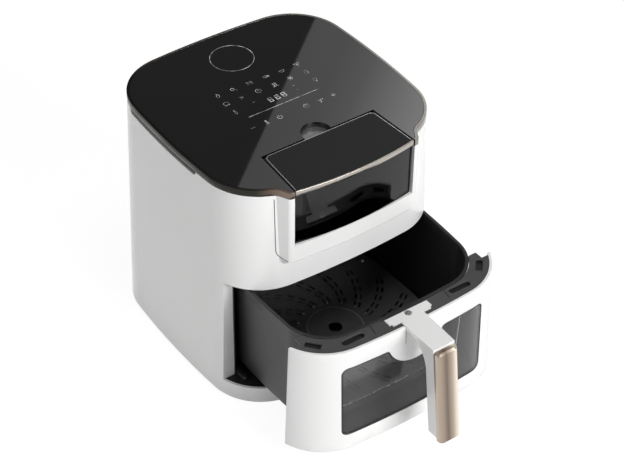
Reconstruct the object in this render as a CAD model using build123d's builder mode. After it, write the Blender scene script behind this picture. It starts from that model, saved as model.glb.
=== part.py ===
"""Air fryer with a windowed drawer, a handle, a lift-out crisper plate and a steam water tank.

Millimetres, +Z up, the front faces -Y. The origin is on the ground, under the middle of the
whole machine with its drawer drawn out as far as drawer_open. Drawer pieces are placed by
drawer_y and housing pieces by body_y, so the drawer's stroke moves the one against the other.
"""

from build123d import *
from math import atan, cos, degrees, radians, sin, tan
import os

# Fits
fit = 0.3                      # between fixed pieces that lie side by side
travel_gap = 0.6               # between pieces that move past each other
running_fit = 0.05             # radial, shaft in bearing
front_gap = 1.4                # visible joint round the drawer's front

# Housing
foot_stand = 3.0               # the feet hold the housing this far off the ground
body_height = 308.0
body_half_width = 145.0        # at the top
body_half_depth = 144.0        # at the top
side_flare = 5.7               # the sides lean out this much from top to bottom
front_flare = 9.6              # and the front and back this much
side_bulge = 9.0               # each side bows out between its corners
corner_radius = 70.0
wall = 3.0
plinth_height = 21.2
opening_height = 170.0         # underside of the housing's front, from the housing's bottom
jamb_reach = 101.2             # the side walls end this far in front of the middle
jamb_width = 20.0
jamb_thickness = 3.0
side_room = 18.5               # from the housing's side to the drawer's opening
opening_half_width = body_half_width - side_room
floor_thickness = 3.0
base_thickness = 3.0

# Top
trim_height = 8.3
trim_width = 3.0
trim_ledge = 3.0
trim_ledge_thickness = 1.8
deck_thickness = 3.0
glass_thickness = 3.5
slot_height = 5.5              # air inlet under the trim
slot_front = -56.0
slot_rear = 85.0
mesh_margin = 3.0
mesh_thickness = 1.0

# Water tank and the pad round it
pad_foot_half_width = 95.5
pad_half_width = 86.5
pad_rise = body_height - 97.0  # lower edge of the pad, from the housing's bottom
pad_run_out = 11.0             # the pad's face slopes back over this height
pad_sink = 13.0
pad_corner = 5.0
trim_blend = 18.0               # the top runs into the pad in a curve of this radius
tank_rear_half_width = 74.6
tank_front_half_width = 78.8
tank_rear_reach = 84.3
tank_side_reach = 150.8
tank_centre_reach = 157.8
pad_side_reach = tank_side_reach + 2.7
pad_centre_reach = tank_centre_reach + 0.7
tank_corner = 5.0
tank_bottom = body_height - 72.0
tank_wall = 2.0
tank_gap = 1.6                 # the housing's notch round the tank
notch_edge = 0.6                # its corners, sharper than the lid's so that the lid can turn
bay_wall = 2.0
lid_thickness = 6.4
lid_overhang = 2.8             # the lid stands out past the tank's front
lid_side_overhang = 0.2
lid_skin = 2.6
lid_seam = 0.3
lid_trim_thickness = 1.6
hinge_inset = 3.2              # pivot line to the lid's rear edge
ear_x = 55.0
ear_width = 4.0
ear_radius = 1.9
ear_root = 8.0
hinge_pin_radius = 0.9
hinge_pin_length = 14.0
seal_gap = 0.8
seal_width = 2.5
seal_setback = 8.0
pocket_setback = 7.0
seal_drop = 2.0
well_radius = 18.0
well_centre = 80.0
well_depth = 7.0
well_wall = 1.5
disc_thickness = 0.5
valve_x = -40.0
valve_y = 108.0
valve_radius = 5.0
valve_flange = 8.0
valve_reach = 7.0
valve_wall = 2.0
dock_wall = 2.6

# Cooking space
liner_thickness = 1.5
liner_depth = 127.0            # inside face of the rear wall, behind the middle
liner_corner = 45.0
ceiling_height = 171.5         # underside of the divider plate, from the housing's bottom
ceiling_thickness = 1.5
dome_radius = opening_half_width - 20.5
dome_height = 36.0
dome_sheet = 1.2
dome_bend = 8.0
dome_flange = 5.0
dome_ledge = 4.0
guard_thickness = 1.2
guard_hub = 16.0
guard_rings = 5
guard_spokes = 12
guard_web = 3.0
coil_tube = 3.3                # tube radius
coil_inner = dome_radius - 26.0
coil_pitch = 12.5
coil_half_turns = 3
coil_rise = 9.0                # coil's centre above the dome's foot
leg_stand = 12.0               # the coil's legs end this far above the dome
fan_radius = coil_inner - 8.0
fan_blades = 12
fan_hub = 10.0
fan_height = 13.0
fan_lift = 5.0                 # fan's back plate below the dome's roof
blade_thickness = 1.2
fan_blade_root = 26.0
shaft_radius = 4.0
shaft_gap = 1.5                # shaft to the sheets it passes through
shaft_chamfer = 0.6
bracket_height = 9.0
bracket_radius = 46.0
bracket_sheet = 1.6
bracket_windows = 6
bracket_window = 30.0
motor_radius = 31.0
motor_height = 34.0
motor_edge = 3.0
cooling_radius = 44.0
cooling_height = 8.0
cooling_blades = 9

# Drawer
drawer_open = 123.8
drawer_bottom = 23.2           # above the housing's bottom
drawer_top = 168.6
panel_wall = 3.0
window_low = 47.0              # above the ground
window_high = 147.6
window_corner = 9.0
window_plane = 100.0           # window prisms start this far in front of the middle
notch_radius = 38.0            # the window is hollowed out under the handle
notch_rise = 9.4
notch_corner = 6.0
gasket_width = 2.0
pane_inset = 0.5
pane_thickness = 2.2
basket_room = 5.0              # basket's rim to the opening's side
basket_half_width = opening_half_width - basket_room
basket_half_depth = 122.6
basket_taper = 4.5             # the walls lean in this much towards the bottom
basket_corner = 52.0
basket_bulge = 6.0
basket_wall = 2.0
basket_lip = 2.0
basket_lip_height = 2.4
basket_bottom = 29.6           # above the ground
basket_edge = 10.0
window_half_width = basket_half_width - 24.0
basket_window_half_width = window_half_width - 7.5
basket_window_low = 56.0
basket_window_high = 138.0
tunnel_sheet = 1.6
tunnel_margin = 4.0
flange_thickness = 2.4
wing_reach = 94.5              # the flange's ears start this far in front of the middle
wing_step = 105.5
wing_half_width = basket_half_width + 4.0
floor_reach = 125.0             # the panel's own floor ends this far in front of the middle
air_slot_x = basket_half_width - 48.0
air_slot_y = 130.2
air_slot_length = 29.0
air_slot_width = 8.0
corner_slot_x = basket_half_width - 6.5
corner_slot_y = 113.7
corner_slot_length = 18.8
corner_slot_width = 8.0
corner_slot_turn = 50.0
runner_width = 8.0
runner_height = 5.0
runner_length = 24.0
runner_reach = 106.0
runner_edge = 2.0
rail_width = 4.4
rail_height = 6.0
rail_length = 140.0
rail_middle = 10.0
flange_drop = 0.4              # the flange lies this far below the panel's top edge

# Handle
root_half_width = 29.0
root_rear = 127.2
root_front = 139.6
root_step = 3.0
neck_half_width = 15.5
neck_thickness = 4.6
neck_reach = 194.6
grip_lean = 7.5                # degrees
grip_bottom = 51.0
arm_thickness = 14.5
arm_inner_radius = 36.0
arm_tip_radius = 9.0
cover_thickness = 7.5
cover_half_width = 14.5
cover_top_drop = 3.0
cover_tip_drop = 3.5
cover_corner = 5.5
cover_bevel = 2.0
screw_radius = 4.0
screw_shank = 2.0
screw_head = 2.0
screw_length = 10.0
slot_cut = 0.8
screw_setback = 131.8
bracket_width = 44.0
bracket_leg = 10.0
handle_bracket_sheet = 2.0

# Crisper plate
plate_height = 47.2            # top of the plate above the ground
plate_thickness = 1.6
plate_gap = 2.4
plate_rim = 3.0
dish_radius = 35.0
dish_rise = 2.0
plate_hole = 8.3
slot_rows = 16
slots_per_row = 5
slot_length = 9.5
slot_width = 2.2
slot_start = 50.0
slot_pitch = 12.5
row_gap = 6.0
row_swirl = 0.43               # degrees of turn per millimetre outwards
leg_x = basket_half_width - 24.5
leg_y = 78.5
plate_leg_radius = 6.0
rivet_radius = 3.0
bumper_width = 14.0
bumper_place = 60.0

# Electronics and water
board_thickness = 1.6
board_length = 116.0
board_depth = 62.0
board_y = 30.0
board_drop = 4.0
board_corner = 3.0
post_x = 54.0
post_y = 27.0
post_radius = 3.0
chip_size = 8.0
chip_height = 2.0
chip_pitch = 18.0
chips_across = 5
chips_down = 3
power_board_length = 90.0
power_board_height = 48.0
stand_off = 4.0
relays = 4
relay_pitch = 20.0
relay_width = 13.0
relay_height = 18.0
relay_depth = 7.0
pump_length = 34.0
pump_radius = 12.0
pump_x = -70.0
pump_y = 118.0
steamer_length = 50.0
steamer_width = 25.0
steamer_height = 22.0
steamer_x = 63.0
steamer_y = 120.5
steamer_edge = 2.0
sensor_radius = 2.4
sensor_length = 18.0
sensor_y = dome_radius - 16.0
cutout_radius = 8.0
cutout_height = 6.0
cutout_y = dome_radius - 26.0
hose_radius = 3.0
hose_bore = 2.0
nozzle_y = 112.0
hose_bend = 5.0
spigot_length = 4.0

# Rear
vent_half_width = 58.0
vent_low = body_height - 112.0
vent_high = body_height - 46.0
vent_slats = 8
vent_slat_height = 3.6
vent_corner = 8.0
gland_x = 62.0
gland_z = 184.0
gland_half = 8.0                # half the gland's square shank
gland_corner = 2.0
gland_bore = 3.6
gland_length = 16.0
gland_stand = 2.0

# Feet and screws
foot_radius = 9.0
foot_stud = 3.5
foot_x = body_half_width - 41.0
foot_y = body_half_depth - 38.0
base_screw_radius = 3.2
base_screw_length = 9.0
base_screw_x = body_half_width - 71.0
base_screw_y = body_half_depth - 34.0
base_screw_shank = 1.5
base_screw_head = 1.8
screw_post_radius = 5.0
base_slots = 11
base_slot_pitch = 14.0
base_slot_length = 90.0
base_slot_width = 5.0
foot_chamfer = 0.8

# Heights and places worked out from the sizes above
body_bottom = foot_stand
body_top = body_bottom + body_height
shell_top = body_top - trim_height
plinth_top = body_bottom + plinth_height
arch_z = body_bottom + opening_height
ceiling_z = body_bottom + ceiling_height
panel_bottom = body_bottom + drawer_bottom
panel_top = body_bottom + drawer_top
floor_bottom = plinth_top - floor_thickness
deck_bottom = shell_top + trim_ledge_thickness
glass_bottom = body_top - glass_thickness
pad_bottom = body_bottom + pad_rise
handle_top = arch_z - travel_gap
lean = tan(radians(grip_lean))
cover_bottom = grip_bottom - cover_tip_drop
handle_reach = neck_reach + cover_thickness + (handle_top - cover_bottom) * lean
body_y = (drawer_open + handle_reach - body_half_depth - front_flare) / 2
drawer_y = body_y - drawer_open
lid_bottom = body_top - lid_thickness
tank_top = lid_bottom - lid_seam
hinge_z = body_top - lid_thickness / 2
hinge_y = body_y + fit - tank_rear_reach - hinge_inset
bay_floor_top = tank_bottom - lid_seam


def bowed(half_width, half_depth, bulge, radius, z, y, inset=0.0):
    """A rounded outline with bowed sides, at height z, drawn in evenly by inset."""
    corner_step = inset / (1 + 2 * bulge / half_depth)
    side_x = half_width - inset
    side_y = half_depth - inset
    reach_x = half_width - bulge - corner_step
    reach_y = half_depth - bulge - corner_step
    with BuildSketch(Plane((0, y, z))) as section:
        with BuildLine():
            ThreePointArc((-reach_x, -reach_y), (0, -side_y), (reach_x, -reach_y))
            ThreePointArc((reach_x, -reach_y), (side_x, 0), (reach_x, reach_y))
            ThreePointArc((reach_x, reach_y), (0, side_y), (-reach_x, reach_y))
            ThreePointArc((-reach_x, reach_y), (-side_x, 0), (-reach_x, -reach_y))
        make_face()
        fillet(section.vertices(), radius - inset)
    return section.sketch


def body_outline(z, inset=0.0, y=body_y, size_at=None):
    """The housing's outline at height z, or as wide as it is at height size_at."""
    drop = (body_top - (z if size_at is None else size_at)) / body_height
    half_width = body_half_width + side_flare * drop
    half_depth = body_half_depth + front_flare * drop
    return bowed(half_width, half_depth, side_bulge, corner_radius, z, y, inset)


def body_loft(low, high, inset, y=body_y):
    """The solid between two heights inside the housing's outer surface, drawn in by inset."""
    with BuildPart() as block:
        loft(sections=[body_outline(low, inset, y), body_outline(high, inset, y)])
    return block.part


def basket_outline(z, inset=0.0):
    """The basket's outline at height z."""
    drop = (panel_top - z) / (panel_top - basket_bottom)
    half_width = basket_half_width - basket_taper * drop
    half_depth = basket_half_depth - basket_taper * drop
    return bowed(half_width, half_depth, basket_bulge, basket_corner, z, drawer_y, inset)


def basket_loft(low, high, inset):
    """The solid between two heights inside the basket's outer surface, drawn in by inset."""
    with BuildPart() as block:
        loft(sections=[basket_outline(low, inset), basket_outline(high, inset)])
    return block.part


def pad_outline(z, inset=0.0, back=0.0):
    """The pad that stands out round the tank; its front is drawn back by inset and back."""
    half_width = pad_half_width - inset
    foot = pad_foot_half_width - inset
    side = pad_side_reach - inset - back
    centre = pad_centre_reach - inset - back
    root = body_half_depth - side_bulge
    with BuildSketch(Plane((0, body_y, z))) as section:
        with BuildLine():
            Polyline(
                (-half_width, -side),
                (-foot, -root),
                (-foot, -tank_rear_reach),
                (foot, -tank_rear_reach),
                (foot, -root),
                (half_width, -side),
            )
            ThreePointArc((half_width, -side), (0, -centre), (-half_width, -side))
        make_face()
        fillet(section.vertices().group_by(Axis.Y)[0], pad_corner)
    return section.sketch


def tank_outline(z, grow=0.0, front=0.0, rear=0.0, corner=tank_corner):
    """The tank's outline, grown sideways by grow and lengthened at the front and rear."""
    taper = (tank_front_half_width - tank_rear_half_width) / (tank_side_reach - tank_rear_reach)
    front_half = tank_front_half_width + grow + taper * front
    rear_half = tank_rear_half_width + grow - taper * rear
    side = tank_side_reach + front
    centre = tank_centre_reach + front
    back = tank_rear_reach - rear
    with BuildSketch(Plane((0, body_y, z))) as section:
        with BuildLine():
            Polyline((-front_half, -side), (-rear_half, -back), (rear_half, -back), (front_half, -side))
            ThreePointArc((front_half, -side), (0, -centre), (-front_half, -side))
        make_face()
        fillet(section.vertices().group_by(Axis.Y)[-1], corner)
    return section.sketch


def tank_notch(low, high):
    """The space for the tank, cut out of the housing from low to high and open at the front."""
    with BuildPart() as notch:
        outline = tank_outline(low, tank_gap, tank_side_reach, tank_gap, notch_edge)
        extrude(to_extrude=outline, amount=high - low)
    return notch.part


def beside_pad(x, inset):
    """Whether x is at the root of the pad, where its side runs into the housing's front."""
    return pad_half_width + pad_corner / 2 < abs(x) + inset < pad_foot_half_width


def top_outline(z, inset=0.0):
    """The outline of the trim, glass and deck at height z: the housing and the pad together."""
    with BuildSketch(Plane((0, 0, z))) as section:
        add(body_outline(0, inset, size_at=shell_top))
        add(pad_outline(0, inset))
        fillet(section.vertices().filter_by(lambda v: beside_pad(v.X, inset)), trim_blend)
    return section.sketch


def upright(sketch, height):
    """The prism that stands on a sketch."""
    with BuildPart() as prism:
        extrude(to_extrude=sketch, amount=height)
    return prism.part


def window_outline(half_width, low, high, corner, hollow, inset=0.0):
    """A window's outline seen from the front, hollowed out under the handle if hollow is set."""
    front = Plane((0, drawer_y - window_plane, 0), x_dir=(1, 0, 0), z_dir=(0, -1, 0))
    with BuildSketch(front) as section:
        with Locations((0, (low + high) / 2)):
            Rectangle(2 * half_width, high - low)
        if hollow:
            with Locations((0, high + notch_rise)):
                Circle(notch_radius, mode=Mode.SUBTRACT)
        sides = section.vertices().filter_by(lambda v: abs(v.X) > half_width - fit)
        fillet(sides, corner)
        if hollow:
            lips = section.vertices().filter_by(lambda v: abs(v.X) < notch_radius)
            fillet(lips, notch_corner)
        if inset:
            offset(amount=-inset)
    return section.sketch


def root_outline(z, grow=0.0):
    """The handle's root, a T that lies in the flange."""
    half_width = root_half_width + grow
    stem = neck_half_width + grow
    with BuildSketch(Plane((0, drawer_y, z))) as section:
        with BuildLine():
            Polyline(
                (-half_width, grow - root_rear),
                (half_width, grow - root_rear),
                (half_width, root_step - grow - root_front),
                (half_width - root_step, root_step - grow - root_front),
                (half_width - root_step, -grow - root_front),
                (stem, -grow - root_front),
                (cover_half_width, -neck_reach),
                (-cover_half_width, -neck_reach),
                (-stem, -grow - root_front),
                (root_step - half_width, -grow - root_front),
                (root_step - half_width, root_step - grow - root_front),
                (-half_width, root_step - grow - root_front),
                close=True,
            )
        make_face()
    return section.sketch


os.makedirs("parts", exist_ok=True)

# ---------------------------------------------------------------- Housing

# The wrap-round shell: flared walls, the pad round the tank, and the cut for the drawer.
with BuildPart() as outer_shell:
    loft(sections=[body_outline(body_bottom), body_outline(shell_top)])
    extrude(to_extrude=pad_outline(pad_bottom), amount=shell_top - pad_bottom)
    loft(sections=[pad_outline(pad_bottom - pad_run_out, back=pad_sink), pad_outline(pad_bottom)])
    add(body_loft(body_bottom - wall, shell_top + wall, wall), mode=Mode.SUBTRACT)
    pad_hollow = bay_floor_top - wall - pad_bottom
    extrude(to_extrude=pad_outline(pad_bottom, inset=wall), amount=pad_hollow, mode=Mode.SUBTRACT)
    add(tank_notch(bay_floor_top, body_top), mode=Mode.SUBTRACT)
    with BuildSketch(Plane((0, body_y - jamb_reach, plinth_top))):
        Rectangle(3 * body_half_width, body_half_depth, align=(Align.CENTER, Align.MAX))
    extrude(amount=arch_z - plinth_top, mode=Mode.SUBTRACT)
    slot_middle = (slot_front + slot_rear) / 2
    with BuildSketch(Plane((0, body_y + slot_middle, shell_top), x_dir=(0, 1, 0), z_dir=(1, 0, 0))):
        SlotOverall(slot_rear - slot_front, 2 * slot_height)
    extrude(amount=body_half_width + side_flare, both=True, mode=Mode.SUBTRACT)
    vent_middle = (vent_low + vent_high) / 2
    with BuildSketch(Plane((0, body_y, vent_middle), x_dir=(-1, 0, 0), z_dir=(0, 1, 0))):
        RectangleRounded(2 * vent_half_width, vent_high - vent_low, vent_corner)
    extrude(amount=body_half_depth + front_flare, mode=Mode.SUBTRACT)
    with BuildSketch(Plane((gland_x, body_y, gland_z), x_dir=(-1, 0, 0), z_dir=(0, 1, 0))):
        RectangleRounded(2 * (gland_half + fit), 2 * (gland_half + fit), gland_corner)
    extrude(amount=body_half_depth + front_flare, mode=Mode.SUBTRACT)

foot_places = [(x, y) for x in (-foot_x, foot_x) for y in (-foot_y, foot_y)]
base_screw_places = [(x, y) for x in (-base_screw_x, base_screw_x) for y in (-base_screw_y, base_screw_y)]
base_top = body_bottom + base_thickness

# The flat base, with holes for the feet and screws and slots that let cooling air in.
with BuildPart() as base_plate:
    extrude(to_extrude=body_outline(base_top, wall + fit), amount=-base_thickness)
    with BuildSketch(Plane((0, body_y, body_bottom))):
        with Locations(*foot_places):
            Circle(foot_stud)
        with GridLocations(base_slot_pitch, 0, base_slots, 1):
            SlotOverall(base_slot_length, base_slot_width, rotation=90)
    extrude(amount=base_thickness, mode=Mode.SUBTRACT)
    with Locations(*[Plane((x, body_y + y, body_bottom), z_dir=(0, 0, -1)) for x, y in base_screw_places]):
        CounterBoreHole(base_screw_shank, base_screw_radius, base_screw_head, base_thickness)

# Four rubber feet, each with a stud that is pressed through the base.
with BuildPart() as feet:
    with BuildSketch(Plane((0, body_y, 0))):
        with Locations(*foot_places):
            Circle(foot_radius)
    extrude(amount=foot_stand)
    chamfer(feet.edges().group_by(Axis.Z)[0], foot_chamfer)
    with BuildSketch(Plane((0, body_y, foot_stand))):
        with Locations(*foot_places):
            Circle(foot_stud)
    extrude(amount=base_thickness)

# The floor of the drawer's bay, on four screw posts that stand on the base.
with BuildPart() as bay_floor:
    extrude(to_extrude=body_outline(plinth_top, wall + fit), amount=-floor_thickness)
    with BuildSketch(Plane((0, body_y, base_top))):
        with Locations(*base_screw_places):
            Circle(screw_post_radius)
    extrude(amount=floor_bottom - base_top)
    with BuildSketch(Plane((0, body_y, base_top))):
        with Locations(*base_screw_places):
            Circle(base_screw_shank)
    extrude(amount=base_screw_length, mode=Mode.SUBTRACT)

# The screws that hold base and floor together.
with BuildPart() as base_screws:
    with BuildSketch(Plane((0, body_y, body_bottom))):
        with Locations(*base_screw_places):
            Circle(base_screw_radius)
    extrude(amount=base_screw_head)
    with BuildSketch(Plane((0, body_y, body_bottom + base_screw_head))):
        with Locations(*base_screw_places):
            Circle(base_screw_shank)
    extrude(amount=base_thickness - base_screw_head + base_screw_length)

# Two steel guides on the floor, just inside the opening, that centre the drawer.
with BuildPart() as floor_runners:
    with BuildSketch(Plane((0, body_y - runner_reach, plinth_top))):
        for side in (-1, 1):
            with Locations((side * (opening_half_width - runner_width / 2), 0)):
                SlotOverall(runner_length, runner_width, rotation=90)
    extrude(amount=runner_height)
    fillet(floor_runners.edges().group_by(Axis.Z)[-1], runner_edge)

# The cooking space's side and rear walls, bent from one sheet.
with BuildPart() as liner:
    with BuildSketch(Plane((0, body_y, plinth_top))) as liner_plan:
        with Locations((0, liner_depth + liner_thickness)):
            Rectangle(
                2 * (opening_half_width + liner_thickness),
                liner_depth + liner_thickness + jamb_reach,
                align=(Align.CENTER, Align.MAX),
            )
        fillet(liner_plan.vertices().group_by(Axis.Y)[-1], liner_corner + liner_thickness)
    extrude(amount=ceiling_z - plinth_top)
    with BuildSketch(Plane((0, body_y, plinth_top))) as liner_space:
        with Locations((0, liner_depth)):
            Rectangle(
                2 * opening_half_width, liner_depth + jamb_reach, align=(Align.CENTER, Align.MAX)
            )
        fillet(liner_space.vertices().group_by(Axis.Y)[-1], liner_corner)
    extrude(amount=ceiling_z - plinth_top, mode=Mode.SUBTRACT)

rim_top = panel_top - flange_drop
rim_bottom = rim_top - basket_lip_height
rail_top = rim_bottom - fit

# Two rails on the side walls that carry the basket's rim.
with BuildPart() as side_rails:
    with BuildSketch(Plane((0, body_y, rail_top))):
        for side in (-1, 1):
            with Locations((side * (opening_half_width - rail_width / 2), rail_middle)):
                Rectangle(rail_width, rail_length)
    extrude(amount=-rail_height)

# The jambs close the gap between the liner's front edges and the shell.
with BuildPart() as jamb_right:
    with BuildSketch(Plane((0, body_y - jamb_reach, plinth_top))):
        with Locations((opening_half_width + liner_thickness + fit, 0)):
            Rectangle(jamb_width, jamb_thickness, align=(Align.MIN, Align.MIN))
    extrude(amount=ceiling_z - fit - plinth_top)
    add(body_loft(plinth_top, ceiling_z, wall + fit), mode=Mode.INTERSECT)

with BuildPart() as jamb_left:
    mirror(jamb_right.part, about=Plane.YZ, mode=Mode.ADD)

# The plate over the drawer's bay; the hot-air dome stands on it, over its round opening.
divider_top = ceiling_z + ceiling_thickness
with BuildPart() as divider_plate:
    extrude(to_extrude=body_outline(divider_top, wall + fit), amount=-ceiling_thickness)
    with BuildSketch(Plane((0, body_y, ceiling_z))):
        Circle(dome_radius - dome_ledge)
        with Locations((steamer_x, -nozzle_y)):
            Circle(hose_radius + fit)
    extrude(amount=ceiling_thickness, mode=Mode.SUBTRACT)

# A grille of rings and spokes under the heater.
guard_radius = dome_radius - dome_ledge - fit
with BuildPart() as fan_guard:
    with BuildSketch(Plane((0, body_y, ceiling_z))):
        Circle(guard_radius)
        Circle(guard_radius - guard_web, mode=Mode.SUBTRACT)
        Circle(guard_hub)
        for ring in range(1, guard_rings):
            ring_radius = guard_hub + (guard_radius - guard_hub) * ring / guard_rings
            Circle(ring_radius)
            Circle(ring_radius - guard_web, mode=Mode.SUBTRACT)
            Circle(guard_hub)
    extrude(amount=guard_thickness)
    with BuildSketch(Plane((0, body_y, ceiling_z))):
        with PolarLocations((guard_hub + guard_radius) / 2 - guard_web, guard_spokes):
            Rectangle(guard_radius - guard_hub, guard_web)
    extrude(amount=guard_thickness)

dome_top = divider_top + dome_height
dome_roof = dome_top - dome_sheet
coil_z = divider_top + coil_rise
coil_end = -coil_inner - (coil_half_turns - 1) * coil_pitch / 2
leg_places = [(coil_inner, 0), (coil_end, 0)]

# The hot-air dome, a steel pan turned upside down, with holes for shaft, coil legs and probe.
with BuildPart() as heat_dome:
    with BuildSketch(Plane((0, body_y, divider_top))):
        Circle(dome_radius + dome_sheet + dome_flange)
    extrude(amount=dome_sheet)
    with BuildSketch(Plane((0, body_y, divider_top))):
        Circle(dome_radius + dome_sheet)
    extrude(amount=dome_height)
    fillet(heat_dome.edges().group_by(Axis.Z)[-1], dome_bend + dome_sheet)
    with BuildSketch(Plane((0, body_y, divider_top))):
        Circle(dome_radius)
    extrude(amount=dome_height - dome_sheet - dome_bend, mode=Mode.SUBTRACT)
    with BuildSketch(Plane((0, body_y, dome_roof - dome_bend))):
        Circle(dome_radius - dome_bend)
    extrude(amount=dome_bend, mode=Mode.SUBTRACT)
    with BuildSketch(Plane((0, body_y, dome_roof))):
        Circle(shaft_radius + shaft_gap)
        with Locations(*leg_places):
            Circle(coil_tube + fit)
        with Locations((0, sensor_y)):
            Circle(sensor_radius)
    extrude(amount=dome_sheet, mode=Mode.SUBTRACT)

# The heating element: half turns of growing radius, with both ends turned up through the dome.
with BuildPart() as heater_coil:
    with BuildLine(Plane((0, body_y, coil_z))) as coil_path:
        for half in range(coil_half_turns):
            middle = coil_pitch / 2 * (half % 2)
            CenterArc((middle, 0), coil_inner + half * coil_pitch / 2, 180 * (half % 2), 180)
    with BuildSketch(Plane((coil_inner, body_y, coil_z), z_dir=(0, 1, 0))):
        Circle(coil_tube)
    sweep(path=coil_path.wires()[0])
    with BuildSketch(Plane((0, body_y, coil_z))):
        with Locations(*leg_places):
            Circle(coil_tube)
    extrude(amount=dome_top + leg_stand - coil_z)
    with Locations(*[(x, body_y + y, coil_z) for x, y in leg_places]):
        Sphere(coil_tube)

fan_top = dome_roof - fan_lift
shaft_low = fan_top - fan_height
bracket_top = dome_top + bracket_height
motor_top = bracket_top + motor_height
cooling_low = motor_top + fan_lift
shaft_high = cooling_low + cooling_height + shaft_gap

# The fan shaft, which carries both fans and turns in the motor's bearings.
with BuildPart() as fan_shaft:
    with BuildSketch(Plane((0, body_y, shaft_low))):
        Circle(shaft_radius)
    extrude(amount=shaft_high - shaft_low)
    chamfer(fan_shaft.edges().group_by(Axis.Z)[-1], shaft_chamfer)


def impeller(low, back, height, radius, hub, blades, blade_root):
    """A back plate with straight radial blades, on a hub bored for the shaft."""
    with BuildPart() as wheel:
        with BuildSketch(Plane((0, body_y, low if back else low + height - blade_thickness))):
            Circle(radius)
        extrude(amount=blade_thickness)
        with BuildSketch(Plane((0, body_y, low))):
            with PolarLocations((radius + blade_root) / 2, blades):
                Rectangle(radius - blade_root, blade_thickness)
            Circle(hub)
        extrude(amount=height)
        with BuildSketch(Plane((0, body_y, low))):
            Circle(radius)
        extrude(amount=height, mode=Mode.INTERSECT)
        with BuildSketch(Plane((0, body_y, low))):
            Circle(shaft_radius)
        extrude(amount=height, mode=Mode.SUBTRACT)
    return wheel.part


# The hot-air fan under the dome's roof, its blades hanging down.
with BuildPart() as hot_air_fan:
    add(impeller(shaft_low, False, fan_height, fan_radius, fan_hub, fan_blades, fan_blade_root))

# The cooling fan over the motor.
with BuildPart() as cooling_fan:
    add(impeller(cooling_low, True, cooling_height, cooling_radius, fan_hub, cooling_blades, fan_hub - fit))

# The motor's bracket, a low cage that lets air pass between motor and dome.
with BuildPart() as motor_bracket:
    with BuildSketch(Plane((0, body_y, dome_top))):
        Circle(bracket_radius)
    extrude(amount=bracket_height)
    with BuildSketch(Plane((0, body_y, dome_top))):
        Circle(bracket_radius - bracket_sheet)
    extrude(amount=bracket_height - bracket_sheet, mode=Mode.SUBTRACT)
    with BuildSketch(Plane((0, body_y, dome_top))):
        Circle(shaft_radius + shaft_gap)
    extrude(amount=bracket_height, mode=Mode.SUBTRACT)
    with BuildSketch(Plane((0, body_y, dome_top + bracket_sheet))):
        with PolarLocations(bracket_radius, bracket_windows):
            Rectangle(4 * bracket_sheet, bracket_window)
    extrude(amount=bracket_height - 3 * bracket_sheet, mode=Mode.SUBTRACT)

# The motor's can, bored for the shaft with a running fit.
with BuildPart() as motor:
    with BuildSketch(Plane((0, body_y, bracket_top))):
        Circle(motor_radius)
    extrude(amount=motor_height)
    fillet(motor.edges().group_by(Axis.Z)[-1], motor_edge)
    with BuildSketch(Plane((0, body_y, bracket_top))):
        Circle(shaft_radius + running_fit)
    extrude(amount=motor_height, mode=Mode.SUBTRACT)

# The temperature probe, seated in the dome's roof.
with BuildPart() as temperature_probe:
    with BuildSketch(Plane((0, body_y + sensor_y, dome_top - sensor_length / 2))):
        Circle(sensor_radius)
    extrude(amount=sensor_length)
    with BuildSketch(Plane((0, body_y + sensor_y, dome_top))):
        Circle(2 * sensor_radius)
    extrude(amount=sensor_radius)

# The thermal cutout, a round can on the dome.
with BuildPart() as thermal_cutout:
    with BuildSketch(Plane((0, body_y - cutout_y, dome_top))):
        Circle(cutout_radius)
    extrude(amount=cutout_height)
    chamfer(thermal_cutout.edges().group_by(Axis.Z)[-1], shaft_chamfer)

pump_axis_z = divider_top + pump_radius
pump_end = pump_x + pump_length / 2
port_z = pump_axis_z + pump_radius

# The water pump, a short cylinder on a saddle, with an inlet on top and an outlet at its end.
with BuildPart() as water_pump:
    with BuildSketch(Plane((pump_x - pump_length / 2, body_y - pump_y, pump_axis_z), z_dir=(1, 0, 0))):
        Circle(pump_radius)
    extrude(amount=pump_length)
    with BuildSketch(Plane((pump_x, body_y - pump_y, divider_top))):
        Rectangle(pump_length - pump_radius, pump_radius)
    extrude(amount=pump_radius)

# The steam generator, a cast block with a nozzle down through the divider.
with BuildPart() as steam_generator:
    with BuildSketch(Plane((steamer_x, body_y - steamer_y, divider_top))):
        RectangleRounded(steamer_length, steamer_width, steamer_edge)
    extrude(amount=steamer_height)
    fillet(steam_generator.edges().group_by(Axis.Z)[-1], steamer_edge)
    with BuildSketch(Plane((steamer_x, body_y - nozzle_y, divider_top))):
        Circle(hose_radius)
    extrude(amount=-ceiling_thickness)

bay_floor_low = bay_floor_top - bay_wall
bay_top = deck_bottom - fit
well_floor = body_top - well_depth
dock_low = bay_floor_low - valve_reach

# The tray that the water tank drops into.
with BuildPart() as tank_bay:
    extrude(
        to_extrude=tank_outline(bay_floor_low, tank_gap + bay_wall, 0, tank_gap + bay_wall),
        amount=bay_top - bay_floor_low,
    )
    add(tank_notch(bay_floor_top, body_top), mode=Mode.SUBTRACT)
    add(body_loft(pad_bottom, body_top, wall + fit), mode=Mode.INTERSECT)
    with BuildSketch(Plane((valve_x, body_y - valve_y, bay_floor_low))):
        Circle(valve_radius + travel_gap + dock_wall + fit)
    extrude(amount=bay_wall, mode=Mode.SUBTRACT)
    with BuildSketch(Plane((0, body_y - well_centre, well_floor - well_wall - fit))):
        Circle(well_radius + well_wall + fit)
    extrude(amount=well_depth + well_wall, mode=Mode.SUBTRACT)

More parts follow.
